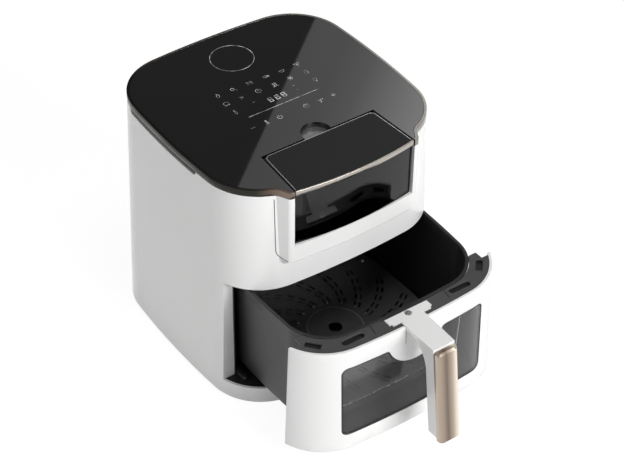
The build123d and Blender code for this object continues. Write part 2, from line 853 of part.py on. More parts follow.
# The dock that the tank's valve plugs into, with a spigot for the hose.
with BuildPart() as tank_dock:
    with BuildSketch(Plane((valve_x, body_y - valve_y, dock_low - dock_wall))):
        Circle(valve_radius + travel_gap + dock_wall)
    extrude(amount=bay_floor_top + dock_wall - dock_low)
    with BuildSketch(Plane((valve_x, body_y - valve_y, dock_low))):
        Circle(valve_radius + travel_gap)
    extrude(amount=bay_floor_top - dock_low, mode=Mode.SUBTRACT)
    with BuildSketch(Plane((valve_x, body_y - valve_y, dock_low - dock_wall))):
        Circle(hose_bore)
    extrude(amount=-spigot_length)

# The hose from the dock down to the pump, in straight runs and round bends.
hose_top = dock_low - dock_wall
hose_turn = (hose_top + port_z) / 2
with BuildPart() as feed_hose:
    with BuildLine() as hose_path:
        FilletPolyline(
            (valve_x, body_y - valve_y, hose_top),
            (valve_x, body_y - valve_y, hose_turn),
            (pump_x, body_y - pump_y, hose_turn),
            (pump_x, body_y - pump_y, port_z),
            radius=hose_bend,
        )
    with BuildSketch(Plane((valve_x, body_y - valve_y, hose_top))):
        Circle(hose_radius)
        Circle(hose_bore, mode=Mode.SUBTRACT)
    sweep(path=hose_path.wires()[0])

# The straight pipe from the pump to the steam generator.
with BuildPart() as water_pipe:
    with BuildSketch(Plane((pump_end, body_y - pump_y, pump_axis_z), z_dir=(1, 0, 0))):
        Circle(hose_radius)
        Circle(hose_bore, mode=Mode.SUBTRACT)
    extrude(amount=steamer_x - steamer_length / 2 - pump_end)

# The metal trim round the top, open at the tank, with a ledge that carries the deck.
with BuildPart() as trim_ring:
    extrude(to_extrude=top_outline(shell_top), amount=trim_height)
    add(upright(top_outline(deck_bottom, trim_width), trim_height), mode=Mode.SUBTRACT)
    add(upright(top_outline(shell_top, trim_width + trim_ledge), trim_height), mode=Mode.SUBTRACT)
    add(tank_notch(shell_top, body_top), mode=Mode.SUBTRACT)

# The deck under the glass, with posts for the display board.
board_top = deck_bottom - board_drop
post_places = [(x, y) for x in (-post_x, post_x) for y in (board_y - post_y, board_y + post_y)]
with BuildPart() as top_deck:
    extrude(to_extrude=top_outline(deck_bottom, trim_width + fit), amount=deck_thickness)
    add(tank_notch(deck_bottom, body_top), mode=Mode.SUBTRACT)
    with BuildSketch(Plane((0, body_y - well_centre, deck_bottom))):
        Circle(well_radius + well_wall + fit)
    extrude(amount=deck_thickness, mode=Mode.SUBTRACT)
    with BuildSketch(Plane((0, body_y, board_top))):
        with Locations(*post_places):
            Circle(post_radius)
    extrude(amount=board_drop)
    with BuildSketch(Plane((0, body_y, board_top))):
        with Locations(*post_places):
            Circle(base_screw_shank)
    extrude(amount=board_drop, mode=Mode.SUBTRACT)

# The black glass top, with the round finger well's opening.
with BuildPart() as top_glass:
    extrude(to_extrude=top_outline(glass_bottom, trim_width + fit), amount=glass_thickness)
    add(tank_notch(glass_bottom, body_top), mode=Mode.SUBTRACT)
    with BuildSketch(Plane((0, body_y - well_centre, glass_bottom))):
        Circle(well_radius)
    extrude(amount=glass_thickness, mode=Mode.SUBTRACT)

# The finger well behind the tank, a cup that is open towards the tank.
with BuildPart() as finger_well:
    with BuildSketch(Plane((0, body_y - well_centre, well_floor - well_wall))):
        Circle(well_radius + well_wall)
    extrude(amount=glass_bottom - well_floor + well_wall)
    with BuildSketch(Plane((0, body_y - well_centre, well_floor))):
        Circle(well_radius)
    extrude(amount=well_depth, mode=Mode.SUBTRACT)
    add(tank_notch(well_floor - well_wall, body_top), mode=Mode.SUBTRACT)

with BuildPart() as well_disc:
    with BuildSketch(Plane((0, body_y - well_centre, well_floor))):
        Circle(well_radius - fit)
    extrude(amount=disc_thickness)
    add(tank_notch(well_floor, body_top), mode=Mode.SUBTRACT)

# The display board under the glass, with a row of light blocks and chips below.
with BuildPart() as display_board:
    with BuildSketch(Plane((0, body_y + board_y, board_top))):
        RectangleRounded(board_length, board_depth, board_corner)
        with Locations(*[(x, y - board_y) for x, y in post_places]):
            Circle(base_screw_shank, mode=Mode.SUBTRACT)
    extrude(amount=-board_thickness)
    with BuildSketch(Plane((0, body_y + board_y, board_top - board_thickness))):
        with GridLocations(chip_pitch, chip_pitch, chips_across, chips_down):
            Rectangle(chip_size, chip_size)
    extrude(amount=-chip_height)

with BuildPart() as board_screws:
    with BuildSketch(Plane((0, body_y, board_top - board_thickness))):
        with Locations(*post_places):
            Circle(base_screw_radius)
    extrude(amount=-base_screw_head)
    with BuildSketch(Plane((0, body_y, board_top - board_thickness))):
        with Locations(*post_places):
            Circle(base_screw_shank)
    extrude(amount=board_thickness + board_drop)

# The power board, upright behind the liner on four stand-offs.
power_y = body_y + liner_depth + liner_thickness
power_z = (plinth_top + ceiling_z) / 2
power_plane = Plane((0, power_y, power_z), x_dir=(-1, 0, 0), z_dir=(0, 1, 0))
with BuildPart() as power_board:
    with BuildSketch(power_plane.offset(stand_off)):
        Rectangle(power_board_length, power_board_height)
    extrude(amount=board_thickness)
    with BuildSketch(power_plane):
        with GridLocations(power_board_length - 2 * post_radius, power_board_height - 2 * post_radius, 2, 2):
            Circle(post_radius)
    extrude(amount=stand_off)
    with BuildSketch(power_plane.offset(stand_off)):
        with GridLocations(relay_pitch, 0, relays, 1):
            Rectangle(relay_width, relay_height)
    extrude(amount=board_thickness + relay_depth)

# Dark meshes behind the air inlets, one at each side.
with BuildPart() as inlet_meshes:
    add(body_loft(shell_top - slot_height - mesh_margin, shell_top, wall + fit))
    add(body_loft(shell_top - 2 * slot_height, body_top, wall + fit + mesh_thickness), mode=Mode.SUBTRACT)
    with BuildSketch(Plane((0, body_y + slot_middle, shell_top - slot_height - mesh_margin))):
        Rectangle(3 * body_half_width, slot_rear - slot_front)
    extrude(amount=slot_height + mesh_margin, mode=Mode.INTERSECT)

# The rear vent, a louvred panel that takes the shell's own curve.
vent_plane = Plane((0, body_y, vent_middle), x_dir=(-1, 0, 0), z_dir=(0, 1, 0))
with BuildPart() as rear_vent:
    add(body_loft(vent_low - wall, vent_high + wall, 0))
    add(body_loft(vent_low - 2 * wall, vent_high + 2 * wall, wall), mode=Mode.SUBTRACT)
    with BuildSketch(vent_plane):
        RectangleRounded(2 * (vent_half_width - fit), vent_high - vent_low - 2 * fit, vent_corner)
    extrude(amount=2 * body_half_depth, mode=Mode.INTERSECT)
    with BuildSketch(vent_plane):
        with GridLocations(0, (vent_high - vent_low) / (vent_slats + 1), 1, vent_slats):
            SlotOverall(2 * (vent_half_width - vent_corner), vent_slat_height)
    extrude(amount=2 * body_half_depth, mode=Mode.SUBTRACT)

# The cord's gland: a bored block with a square shank, so that it can't turn, and a collar outside.
gland_drop = (body_top - gland_z) / body_height
gland_bow = side_bulge * (gland_x / (body_half_width - side_bulge)) ** 2
gland_seat = body_half_depth + front_flare * gland_drop - gland_bow
gland_mouth = Plane((gland_x, body_y + gland_seat + gland_stand, gland_z), z_dir=(0, 1, 0))
with BuildPart() as cord_gland:
    with BuildSketch(gland_mouth):
        RectangleRounded(2 * gland_half, 2 * gland_half, gland_corner)
    extrude(amount=-gland_length)
    with BuildSketch(gland_mouth):
        RectangleRounded(2 * (gland_half + gland_stand), 2 * (gland_half + gland_stand), gland_corner)
    extrude(amount=-gland_stand / 2)
    with BuildSketch(gland_mouth):
        Circle(gland_bore)
    extrude(amount=-gland_length, mode=Mode.SUBTRACT)

# The water tank, a clear box with ears for the lid's pins and a hole for the valve.
with BuildPart() as tank_body:
    extrude(to_extrude=tank_outline(tank_bottom), amount=tank_top - tank_bottom)
    extrude(
        to_extrude=tank_outline(tank_bottom + tank_wall, -tank_wall, -tank_wall, -tank_wall),
        amount=tank_top,
        mode=Mode.SUBTRACT,
    )
    for x in (-ear_x, ear_x):
        ear_side = Plane((x - ear_width / 2, hinge_y, hinge_z), x_dir=(0, 1, 0), z_dir=(1, 0, 0))
        ear_low = tank_top - ear_root - hinge_z
        with BuildSketch(ear_side):
            Circle(ear_radius)
            with Locations((0, ear_low / 2)):
                Rectangle(2 * ear_radius, -ear_low)
        extrude(amount=ear_width)
        with BuildSketch(ear_side):
            Circle(hinge_pin_radius)
        extrude(amount=ear_width, mode=Mode.SUBTRACT)
    with BuildSketch(Plane((valve_x, body_y - valve_y, tank_bottom))):
        Circle(valve_radius)
    extrude(amount=tank_wall, mode=Mode.SUBTRACT)

with BuildPart() as hinge_pins:
    for x in (-ear_x, ear_x):
        with BuildSketch(Plane((x - hinge_pin_length / 2, hinge_y, hinge_z), z_dir=(1, 0, 0))):
            Circle(hinge_pin_radius)
        extrude(amount=hinge_pin_length)

# The valve under the tank, which plugs into the dock. Its poppet is shut, so the top is closed.
with BuildPart() as tank_valve:
    with BuildSketch(Plane((valve_x, body_y - valve_y, tank_bottom - valve_reach))):
        Circle(valve_radius)
    extrude(amount=valve_reach + tank_wall)
    with BuildSketch(Plane((valve_x, body_y - valve_y, tank_bottom + tank_wall))):
        Circle(valve_flange)
    extrude(amount=tank_wall)
    with BuildSketch(Plane((valve_x, body_y - valve_y, tank_bottom - valve_reach))):
        Circle(valve_radius - valve_wall)
    extrude(amount=valve_reach, mode=Mode.SUBTRACT)

# The tank's lid. Its rear edge is round about the pins, so it turns in place.
lid_front = lid_overhang - lid_trim_thickness
slot_half = ear_radius + fit
with BuildPart() as tank_lid:
    extrude(to_extrude=tank_outline(lid_bottom, lid_side_overhang, lid_front, fit), amount=lid_thickness)
    with BuildSketch(Plane((0, hinge_y, hinge_z), x_dir=(0, 1, 0), z_dir=(1, 0, 0))):
        Circle(hinge_inset)
        with Locations((-body_half_depth / 2, 0)):
            Rectangle(body_half_depth, lid_thickness)
    extrude(amount=body_half_width, both=True, mode=Mode.INTERSECT)
    extrude(
        to_extrude=tank_outline(lid_bottom, -tank_wall, -tank_wall, -pocket_setback),
        amount=lid_thickness - lid_skin,
        mode=Mode.SUBTRACT,
    )
    with BuildSketch(Plane((0, hinge_y + hinge_inset / 2 - slot_half / 2, lid_bottom))):
        with GridLocations(2 * ear_x, 0, 2, 1):
            Rectangle(ear_width + 2 * fit, hinge_inset + slot_half)
    extrude(amount=hinge_z + slot_half - lid_bottom, mode=Mode.SUBTRACT)
    for x in (-ear_x, ear_x):
        with BuildSketch(Plane((x - hinge_pin_length / 2 - fit, hinge_y, hinge_z), z_dir=(1, 0, 0))):
            Circle(hinge_pin_radius + running_fit)
        extrude(amount=hinge_pin_length + 2 * fit, mode=Mode.SUBTRACT)

with BuildPart() as lid_trim:
    extrude(to_extrude=tank_outline(lid_bottom, lid_side_overhang, lid_overhang, fit), amount=lid_thickness)
    extrude(
        to_extrude=tank_outline(lid_bottom, lid_side_overhang, lid_front, tank_side_reach),
        amount=lid_thickness,
        mode=Mode.SUBTRACT,
    )

# The lid's seal, a ring that reaches down into the tank's mouth.
seal_edge = tank_wall + seal_gap
seal_top = body_top - lid_skin
with BuildPart() as lid_seal:
    extrude(
        to_extrude=tank_outline(lid_bottom - seal_drop, -seal_edge, -seal_edge, -seal_setback),
        amount=seal_top - lid_bottom + seal_drop,
    )
    extrude(
        to_extrude=tank_outline(
            lid_bottom - seal_drop,
            -seal_edge - seal_width,
            -seal_edge - seal_width,
            -seal_setback - seal_width,
        ),
        amount=seal_top - lid_bottom + seal_drop,
        mode=Mode.SUBTRACT,
    )

front_edge = drawer_y - jamb_reach - front_gap
neck_bottom = handle_top - neck_thickness


def window_prism(half_width, low, high, corner, hollow, inset=0.0):
    """The prism of a window, running forward through the drawer's front."""
    with BuildPart() as prism:
        extrude(
            to_extrude=window_outline(half_width, low, high, corner, hollow, inset),
            amount=body_half_depth,
        )
    return prism.part


def rounded_basket(low, inset):
    """The basket's inside, round along its bottom edge."""
    with BuildPart() as block:
        add(basket_loft(low, panel_top, inset))
        fillet(block.edges().group_by(Axis.Z)[0], basket_edge - basket_wall)
    return block.part


def front_floor_cut():
    """What is cut from the panel's floor, behind floor_reach and inside the panel's wall."""
    with BuildPart() as cut:
        add(body_loft(panel_bottom, panel_bottom + panel_wall, panel_wall, drawer_y))
        with BuildSketch(Plane((0, drawer_y - floor_reach + body_half_depth, panel_bottom))):
            Rectangle(3 * body_half_width, 2 * body_half_depth)
        extrude(amount=panel_wall, mode=Mode.INTERSECT)
    return cut.part


# The drawer's front, a panel that follows the housing's outline.
with BuildPart() as drawer_front:
    add(body_loft(panel_bottom, panel_top, 0, drawer_y))
    add(body_loft(panel_bottom + panel_wall, panel_top, panel_wall, drawer_y), mode=Mode.SUBTRACT)
    add(front_floor_cut(), mode=Mode.SUBTRACT)
    with BuildSketch(Plane((0, front_edge - body_half_depth, panel_bottom))):
        Rectangle(3 * body_half_width, 2 * body_half_depth)
    extrude(amount=panel_top - panel_bottom, mode=Mode.INTERSECT)
    with BuildSketch(Plane((0, drawer_y - body_half_depth, neck_bottom - fit))):
        Rectangle(2 * (neck_half_width + fit), body_half_depth)
    extrude(amount=neck_thickness, mode=Mode.SUBTRACT)
    add(
        window_prism(window_half_width, window_low, window_high, window_corner, True),
        mode=Mode.SUBTRACT,
    )

# The window's gasket and pane, both bowed like the panel.
with BuildPart() as window_gasket:
    add(body_loft(panel_bottom, panel_top, pane_inset, drawer_y))
    add(body_loft(panel_bottom, panel_top, panel_wall, drawer_y), mode=Mode.SUBTRACT)
    add(
        window_prism(window_half_width, window_low, window_high, window_corner, True),
        mode=Mode.INTERSECT,
    )
    add(
        window_prism(window_half_width, window_low, window_high, window_corner, True, gasket_width),
        mode=Mode.SUBTRACT,
    )

with BuildPart() as drawer_window:
    add(body_loft(panel_bottom, panel_top, pane_inset, drawer_y))
    add(body_loft(panel_bottom, panel_top, pane_inset + pane_thickness, drawer_y), mode=Mode.SUBTRACT)
    add(
        window_prism(window_half_width, window_low, window_high, window_corner, True, gasket_width),
        mode=Mode.INTERSECT,
    )

# The sheet-metal frame between the panel's window and the basket's.
tunnel_half_width = window_half_width + tunnel_margin
tunnel_low = window_low - tunnel_margin
tunnel_high = window_high + tunnel_margin
with BuildPart() as window_tunnel:
    add(window_prism(tunnel_half_width, tunnel_low, tunnel_high, window_corner, False))
    add(
        window_prism(tunnel_half_width, tunnel_low, tunnel_high, window_corner, False, tunnel_sheet),
        mode=Mode.SUBTRACT,
    )
    add(body_loft(panel_bottom, panel_top, panel_wall, drawer_y), mode=Mode.INTERSECT)
    add(basket_loft(basket_bottom, panel_top, -fit), mode=Mode.SUBTRACT)

# The basket, with a round bottom edge, a lip and a window in its front wall.
with BuildPart() as basket:
    add(basket_loft(basket_bottom, panel_top, 0))
    fillet(basket.edges().group_by(Axis.Z)[0], basket_edge)
    extrude(to_extrude=basket_outline(panel_top - basket_lip_height, -basket_lip), amount=basket_lip_height)
    add(rounded_basket(basket_bottom + basket_wall, basket_wall), mode=Mode.SUBTRACT)
    add(
        window_prism(basket_window_half_width, basket_window_low, basket_window_high, window_corner, False),
        mode=Mode.SUBTRACT,
    )

with BuildPart() as basket_glass:
    add(basket_loft(basket_bottom, panel_top, 0))
    add(basket_loft(basket_bottom, panel_top, basket_wall), mode=Mode.SUBTRACT)
    add(
        window_prism(basket_window_half_width, basket_window_low, basket_window_high, window_corner, False),
        mode=Mode.INTERSECT,
    )

# The flange that covers the joint between basket and panel, with air slots.
with BuildPart() as flange_cover:
    extrude(
        to_extrude=body_outline(rim_bottom, panel_wall + fit, drawer_y, panel_top),
        amount=flange_thickness,
    )
    add(upright(basket_outline(panel_top, -basket_lip - fit), -3 * flange_thickness), mode=Mode.SUBTRACT)
    add(upright(root_outline(rim_bottom, fit), flange_thickness), mode=Mode.SUBTRACT)
    with BuildSketch(Plane((0, drawer_y - wing_reach, rim_bottom))):
        with Locations((0, body_half_depth)):
            Rectangle(3 * body_half_width, 2 * body_half_depth)
        with Locations((0, (wing_reach - wing_step) / 2)):
            Rectangle(3 * body_half_width, wing_step - wing_reach)
            Rectangle(2 * wing_half_width, wing_step - wing_reach, mode=Mode.SUBTRACT)
    extrude(amount=flange_thickness, mode=Mode.SUBTRACT)
    with BuildSketch(Plane((0, drawer_y, rim_bottom))):
        for side in (-1, 1):
            with Locations((side * air_slot_x, -air_slot_y)):
                SlotOverall(air_slot_length, air_slot_width)
            with Locations(Location((side * corner_slot_x, -corner_slot_y), side * corner_slot_turn)):
                RectangleRounded(corner_slot_length, corner_slot_width, air_slot_width / 4)
    extrude(amount=flange_thickness, mode=Mode.SUBTRACT)

# The steel bracket under the handle's root, with a leg down the panel's inside.
panel_inner = body_half_depth + front_flare * (body_top - panel_top) / body_height - panel_wall
leg_front = panel_inner - travel_gap
with BuildPart() as handle_bracket:
    with BuildSketch(Plane((0, drawer_y - (root_rear + leg_front) / 2, neck_bottom))):
        Rectangle(bracket_width, leg_front - root_rear)
    extrude(amount=-handle_bracket_sheet)
    with BuildSketch(Plane((0, drawer_y - leg_front + handle_bracket_sheet / 2, neck_bottom))):
        Rectangle(bracket_width, handle_bracket_sheet)
    extrude(amount=-bracket_leg)
    with BuildSketch(Plane((0, drawer_y - screw_setback, neck_bottom))):
        Circle(screw_shank)
    extrude(amount=-handle_bracket_sheet, mode=Mode.SUBTRACT)

# The handle's arm: a T-shaped root in the flange, a flat neck and a leaning grip.
line_foot = neck_reach + (handle_top - grip_bottom) * lean
with BuildPart() as handle_arm:
    extrude(to_extrude=root_outline(neck_bottom), amount=neck_thickness)
    with BuildSketch(Plane((-cover_half_width, drawer_y, 0), x_dir=(0, 1, 0), z_dir=(1, 0, 0))) as grip:
        with BuildLine():
            Polyline(
                (-root_front, handle_top),
                (-neck_reach, handle_top),
                (-line_foot, grip_bottom),
                (arm_thickness - line_foot, grip_bottom),
                (arm_thickness - neck_reach - neck_thickness * lean, neck_bottom),
                (-root_front, neck_bottom),
                close=True,
            )
        make_face()
        corners = grip.vertices()
        inner = corners.group_by(Axis.Y)[1].sort_by(Axis.X)[0]
        tip = corners.group_by(Axis.Y)[0].sort_by(Axis.X)[-1]
        fillet(inner, arm_inner_radius)
        fillet(tip, arm_tip_radius)
    extrude(amount=2 * cover_half_width)
    with BuildSketch(Plane((0, drawer_y - screw_setback, neck_bottom))):
        Circle(screw_shank)
    extrude(amount=neck_thickness, mode=Mode.SUBTRACT)
    with BuildSketch(Plane((0, drawer_y - screw_setback, handle_top - screw_head))):
        Circle(screw_radius + fit)
    extrude(amount=screw_head, mode=Mode.SUBTRACT)

# The cover on the front of the grip, with rounded corners and a bevelled top.
cover_top = handle_top - cover_top_drop
with BuildPart() as handle_cover:
    with BuildSketch(Plane((-cover_half_width, drawer_y, 0), x_dir=(0, 1, 0), z_dir=(1, 0, 0))):
        with BuildLine():
            Polyline(
                (-neck_reach - cover_top_drop * lean, cover_top),
                (-neck_reach - cover_top_drop * lean - cover_thickness, cover_top),
                (-handle_reach, cover_bottom),
                (cover_thickness - handle_reach, cover_bottom),
                close=True,
            )
        make_face()
    extrude(amount=2 * cover_half_width)
    uprights = handle_cover.edges().filter_by(lambda e: abs(e.tangent_at(0.5).Z) > 0.9)
    fillet(uprights.group_by(Axis.Y)[0], cover_corner)
    chamfer(handle_cover.edges().group_by(Axis.Z)[-1].sort_by(Axis.Y)[0], cover_bevel)

with BuildPart() as handle_screw:
    with BuildSketch(Plane((0, drawer_y - screw_setback, handle_top - screw_head))):
        Circle(screw_radius)
    extrude(amount=screw_head)
    with BuildSketch(Plane((0, drawer_y - screw_setback, handle_top - screw_head))):
        Circle(screw_shank)
    extrude(amount=-screw_length)
    with BuildSketch(Plane((0, drawer_y - screw_setback, handle_top))):
        Rectangle(screw_radius, slot_cut)
        Rectangle(slot_cut, screw_radius)
    extrude(amount=-screw_head / 2, mode=Mode.SUBTRACT)

# The crisper plate, a pressed sheet with a turned-down rim, a raised dish and swirled rows of slots.
plate_bottom = plate_height - plate_thickness
plate_edge = basket_wall + plate_gap
with BuildPart() as crisper_plate:
    plate_foot = basket_outline(plate_bottom - plate_rim, plate_edge)
    extrude(to_extrude=plate_foot, amount=plate_rim + plate_thickness)
    extrude(
        to_extrude=basket_outline(plate_bottom - plate_rim, plate_edge + plate_thickness),
        amount=plate_rim,
        mode=Mode.SUBTRACT,
    )
    with BuildSketch(Plane((0, drawer_y, plate_bottom))):
        Circle(dish_radius)
    extrude(amount=plate_thickness + dish_rise)
    with BuildSketch(Plane((0, drawer_y, plate_bottom))):
        Circle(dish_radius - plate_thickness)
    extrude(amount=dish_rise, mode=Mode.SUBTRACT)
    with BuildSketch(Plane((0, drawer_y, plate_bottom))):
        Circle(plate_hole)
        for row in range(slot_rows):
            for place in range(slots_per_row):
                reach = slot_start + place * slot_pitch
                turn = 360 / slot_rows * row + row_swirl * (reach - slot_start)
                slant = turn + degrees(atan(reach * radians(row_swirl)))
                spot = Location((reach * cos(radians(turn)), reach * sin(radians(turn)), 0), slant)
                with Locations(spot):
                    with Locations((0, row_gap / 2), (0, -row_gap / 2)):
                        SlotOverall(slot_length, slot_width)
    extrude(amount=dish_rise + 2 * plate_thickness, mode=Mode.SUBTRACT)

# Four silicone legs under the plate, each held by a rivet.
leg_low = basket_bottom + basket_wall + fit
with BuildPart() as crisper_feet:
    with BuildSketch(Plane((0, drawer_y, leg_low))):
        with GridLocations(2 * leg_x, 2 * leg_y, 2, 2):
            Circle(plate_leg_radius)
    extrude(amount=plate_bottom - leg_low)
    fillet(crisper_feet.edges().group_by(Axis.Z)[0], plate_leg_radius / 3)

with BuildPart() as crisper_rivets:
    with Locations((0, drawer_y, plate_height)):
        with GridLocations(2 * leg_x, 2 * leg_y, 2, 2):
            Sphere(rivet_radius)
    with BuildSketch(Plane((0, drawer_y, plate_height))):
        Rectangle(4 * leg_x, 4 * leg_y)
    extrude(amount=-rivet_radius, mode=Mode.SUBTRACT)

# Silicone bumpers on the rim, which keep the plate off the basket's walls.
with BuildPart() as crisper_bumpers:
    extrude(
        to_extrude=basket_outline(plate_bottom - plate_rim, basket_wall + travel_gap),
        amount=plate_rim + plate_thickness,
    )
    extrude(
        to_extrude=basket_outline(plate_bottom - plate_rim, plate_edge),
        amount=plate_rim + plate_thickness,
        mode=Mode.SUBTRACT,
    )
    with BuildSketch(Plane((0, drawer_y, plate_bottom - plate_rim))):
        with GridLocations(2 * bumper_place, 0, 2, 1):
            Rectangle(bumper_width, 3 * body_half_width)
        with GridLocations(0, 2 * bumper_place, 1, 2):
            Rectangle(3 * body_half_width, bumper_width)
    extrude(amount=plate_rim + plate_thickness, mode=Mode.INTERSECT)

# Every piece goes out as one STEP file under its own name.
pieces = {
    "outer_shell": outer_shell,
    "base_plate": base_plate,
    "feet": feet,
    "bay_floor": bay_floor,
    "base_screws": base_screws,
    "floor_runners": floor_runners,
    "liner": liner,
    "side_rails": side_rails,
    "jamb_right": jamb_right,
    "jamb_left": jamb_left,
    "divider_plate": divider_plate,
    "fan_guard": fan_guard,
    "heat_dome": heat_dome,
    "heater_coil": heater_coil,
    "fan_shaft": fan_shaft,
    "hot_air_fan": hot_air_fan,
    "cooling_fan": cooling_fan,
    "motor_bracket": motor_bracket,
    "motor": motor,
    "temperature_probe": temperature_probe,
    "thermal_cutout": thermal_cutout,
    "water_pump": water_pump,
    "steam_generator": steam_generator,
    "tank_bay": tank_bay,
    "tank_dock": tank_dock,
    "feed_hose": feed_hose,
    "water_pipe": water_pipe,
    "trim_ring": trim_ring,
    "top_deck": top_deck,
    "top_glass": top_glass,
    "finger_well": finger_well,
    "well_disc": well_disc,
    "display_board": display_board,
    "board_screws": board_screws,
    "power_board": power_board,
    "inlet_meshes": inlet_meshes,
    "rear_vent": rear_vent,
    "cord_gland": cord_gland,
    "tank_body": tank_body,
    "hinge_pins": hinge_pins,
    "tank_valve": tank_valve,
    "tank_lid": tank_lid,
    "lid_trim": lid_trim,
    "lid_seal": lid_seal,
    "drawer_front": drawer_front,
    "window_gasket": window_gasket,
    "drawer_window": drawer_window,
    "window_tunnel": window_tunnel,
    "basket": basket,
    "basket_glass": basket_glass,
    "flange_cover": flange_cover,
    "handle_bracket": handle_bracket,
    "handle_arm": handle_arm,
    "handle_cover": handle_cover,
    "handle_screw": handle_screw,
    "crisper_plate": crisper_plate,
    "crisper_feet": crisper_feet,
    "crisper_rivets": crisper_rivets,
    "crisper_bumpers": crisper_bumpers,
}
for name, piece in pieces.items():
    piece.part.label = name
    export_step(piece.part, f"parts/{name}.step")
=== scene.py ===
"""A steam air fryer with its windowed drawer drawn out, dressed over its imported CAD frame."""

from math import cos, pi, radians, sin

import bmesh
import bpy
from mathutils import Matrix, Vector
from mathutils.bvhtree import BVHTree


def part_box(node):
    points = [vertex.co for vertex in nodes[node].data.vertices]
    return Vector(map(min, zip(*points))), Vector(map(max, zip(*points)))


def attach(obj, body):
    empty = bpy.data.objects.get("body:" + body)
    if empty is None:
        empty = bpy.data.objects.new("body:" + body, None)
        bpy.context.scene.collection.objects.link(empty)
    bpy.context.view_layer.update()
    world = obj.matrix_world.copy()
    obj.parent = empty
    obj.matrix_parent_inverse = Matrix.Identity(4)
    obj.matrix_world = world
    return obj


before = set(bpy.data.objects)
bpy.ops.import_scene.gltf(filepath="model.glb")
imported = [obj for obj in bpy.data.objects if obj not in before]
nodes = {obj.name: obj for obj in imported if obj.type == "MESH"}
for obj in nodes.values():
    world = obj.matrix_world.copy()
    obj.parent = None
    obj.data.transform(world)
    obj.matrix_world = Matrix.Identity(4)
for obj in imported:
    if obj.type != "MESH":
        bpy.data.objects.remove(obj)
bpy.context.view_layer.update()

# ---------------------------------------------------------------- Studio
# The machine stands on a white sweep under three softboxes. The camera looks down on its
# front left corner, and its place is measured from the housing's middle.
base_low, base_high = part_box("base_plate")
body_y = (base_low.y + base_high.y) / 2
camera_place = (-0.9454, body_y - 1.3858, 1.5337)
camera_turn = radians(-34.32)
camera_tilt = radians(39.75)
camera_roll = radians(-0.21)
camera = bpy.data.objects.new("camera", bpy.data.cameras.new("camera"))
bpy.context.scene.collection.objects.link(camera)
camera.data.sensor_width = 36
camera.data.lens = 105.4
camera.data.shift_x = 0.057
camera.data.shift_y = -0.0264
camera.data.clip_end = 20
camera.matrix_world = (
    Matrix.Translation(camera_place)
    @ Matrix.Rotation(camera_turn, 4, "Z")
    @ Matrix.Rotation(pi / 2 - camera_tilt, 4, "X")
    @ Matrix.Rotation(camera_roll, 4, "Z")
)
bpy.context.scene.camera = camera
bpy.context.scene.view_settings.view_transform = "Standard"


class Wire:
    """A socket in a material, with arithmetic that adds Math nodes."""

    def __init__(self, socket):
        self.socket = socket

    def make(self, kind, settings=(), sockets=(), out=0):
        """Adds a node of a kind: its settings first, then its sockets' values or links."""
        tree = self.socket.id_data
        node = tree.nodes.new(kind)
        for name, value in dict(settings).items():
            if name == "stops":
                ramp = node.color_ramp
                for _ in range(len(value) - len(ramp.elements)):
                    ramp.elements.new(1)
                for stop, (spot, shade) in zip(ramp.elements, value):
                    stop.position = spot
                    stop.color = (*shade, 1)
            else:
                setattr(node, name, value)
        for name, value in dict(sockets).items():
            if isinstance(value, Wire):
                tree.links.new(value.socket, node.inputs[name])
            else:
                node.inputs[name].default_value = value
        return Wire(node.outputs[out])

    def maths(self, operation, other=0.0):
        """A Math node on this value and another."""
        return self.make("ShaderNodeMath", {"operation": operation}, {0: self, 1: other})

    def __add__(self, other):
        return self.maths("ADD", other)

    def __mul__(self, other):
        return self.maths("MULTIPLY", other)

    __radd__ = __add__
    __rmul__ = __mul__

    def axis(self, letter):
        """One coordinate of a place."""
        return self.make("ShaderNodeSeparateXYZ", sockets={0: self}, out=letter)

    def noise(self, scale, detail=2.0, stretch=(1, 1, 1)):
        """Lumps from 0 to 1, so many to the metre."""
        stretched = self.make("ShaderNodeMapping", sockets={0: self, "Scale": stretch})
        sockets = {"Vector": stretched, "Scale": scale, "Detail": detail}
        return self.make("ShaderNodeTexNoise", sockets=sockets)

    def cells(self, scale):
        """Distance to the nearest of so many grains to the metre."""
        return self.make("ShaderNodeTexVoronoi", sockets={"Vector": self, "Scale": scale})

    def above(self, low, high):
        """0 below low, 1 above high, and even between."""
        return self.make("ShaderNodeMapRange", sockets={0: self, 1: low, 2: high})

    def tint(self, first, second):
        """The colour from first to second as this goes from 0 to 1."""
        ends = {"Factor": self, 6: (*first, 1), 7: (*second, 1)}
        return self.make("ShaderNodeMix", {"data_type": "RGBA"}, ends, out=2)

    def ramp(self, *stops):
        """The colour at this place along a row of (place, colour) stops."""
        return self.make("ShaderNodeValToRGB", {"stops": stops}, {0: self})

    def bump(self, strength, depth):
        """The normal of a surface with this height field."""
        sockets = {"Height": self, "Strength": strength, "Distance": depth}
        return self.make("ShaderNodeBump", sockets=sockets)


def finish(name, **fixed):
    """A material, the function that links its shader's sockets, and the place on its surface."""
    material = bpy.data.materials.new(name)
    material.use_nodes = True
    shader = material.node_tree.nodes["Principled BSDF"]
    for key, value in fixed.items():
        shader.inputs[key.replace("_", " ")].default_value = value

    def feed(**wires):
        for key, wire in wires.items():
            material.node_tree.links.new(wire.socket, shader.inputs[key.replace("_", " ")])

    return material, feed, Wire(shader.outputs[0]).make("ShaderNodeTexCoord", out="Object")


def build(name, shape, material):
    """Makes an object of one material from a drawn shape."""
    made = bpy.data.objects.new(name, bpy.data.meshes.new(name))
    bpy.context.scene.collection.objects.link(made)
    shape.to_mesh(made.data)
    shape.free()
    made.data.materials.append(material)
    return made


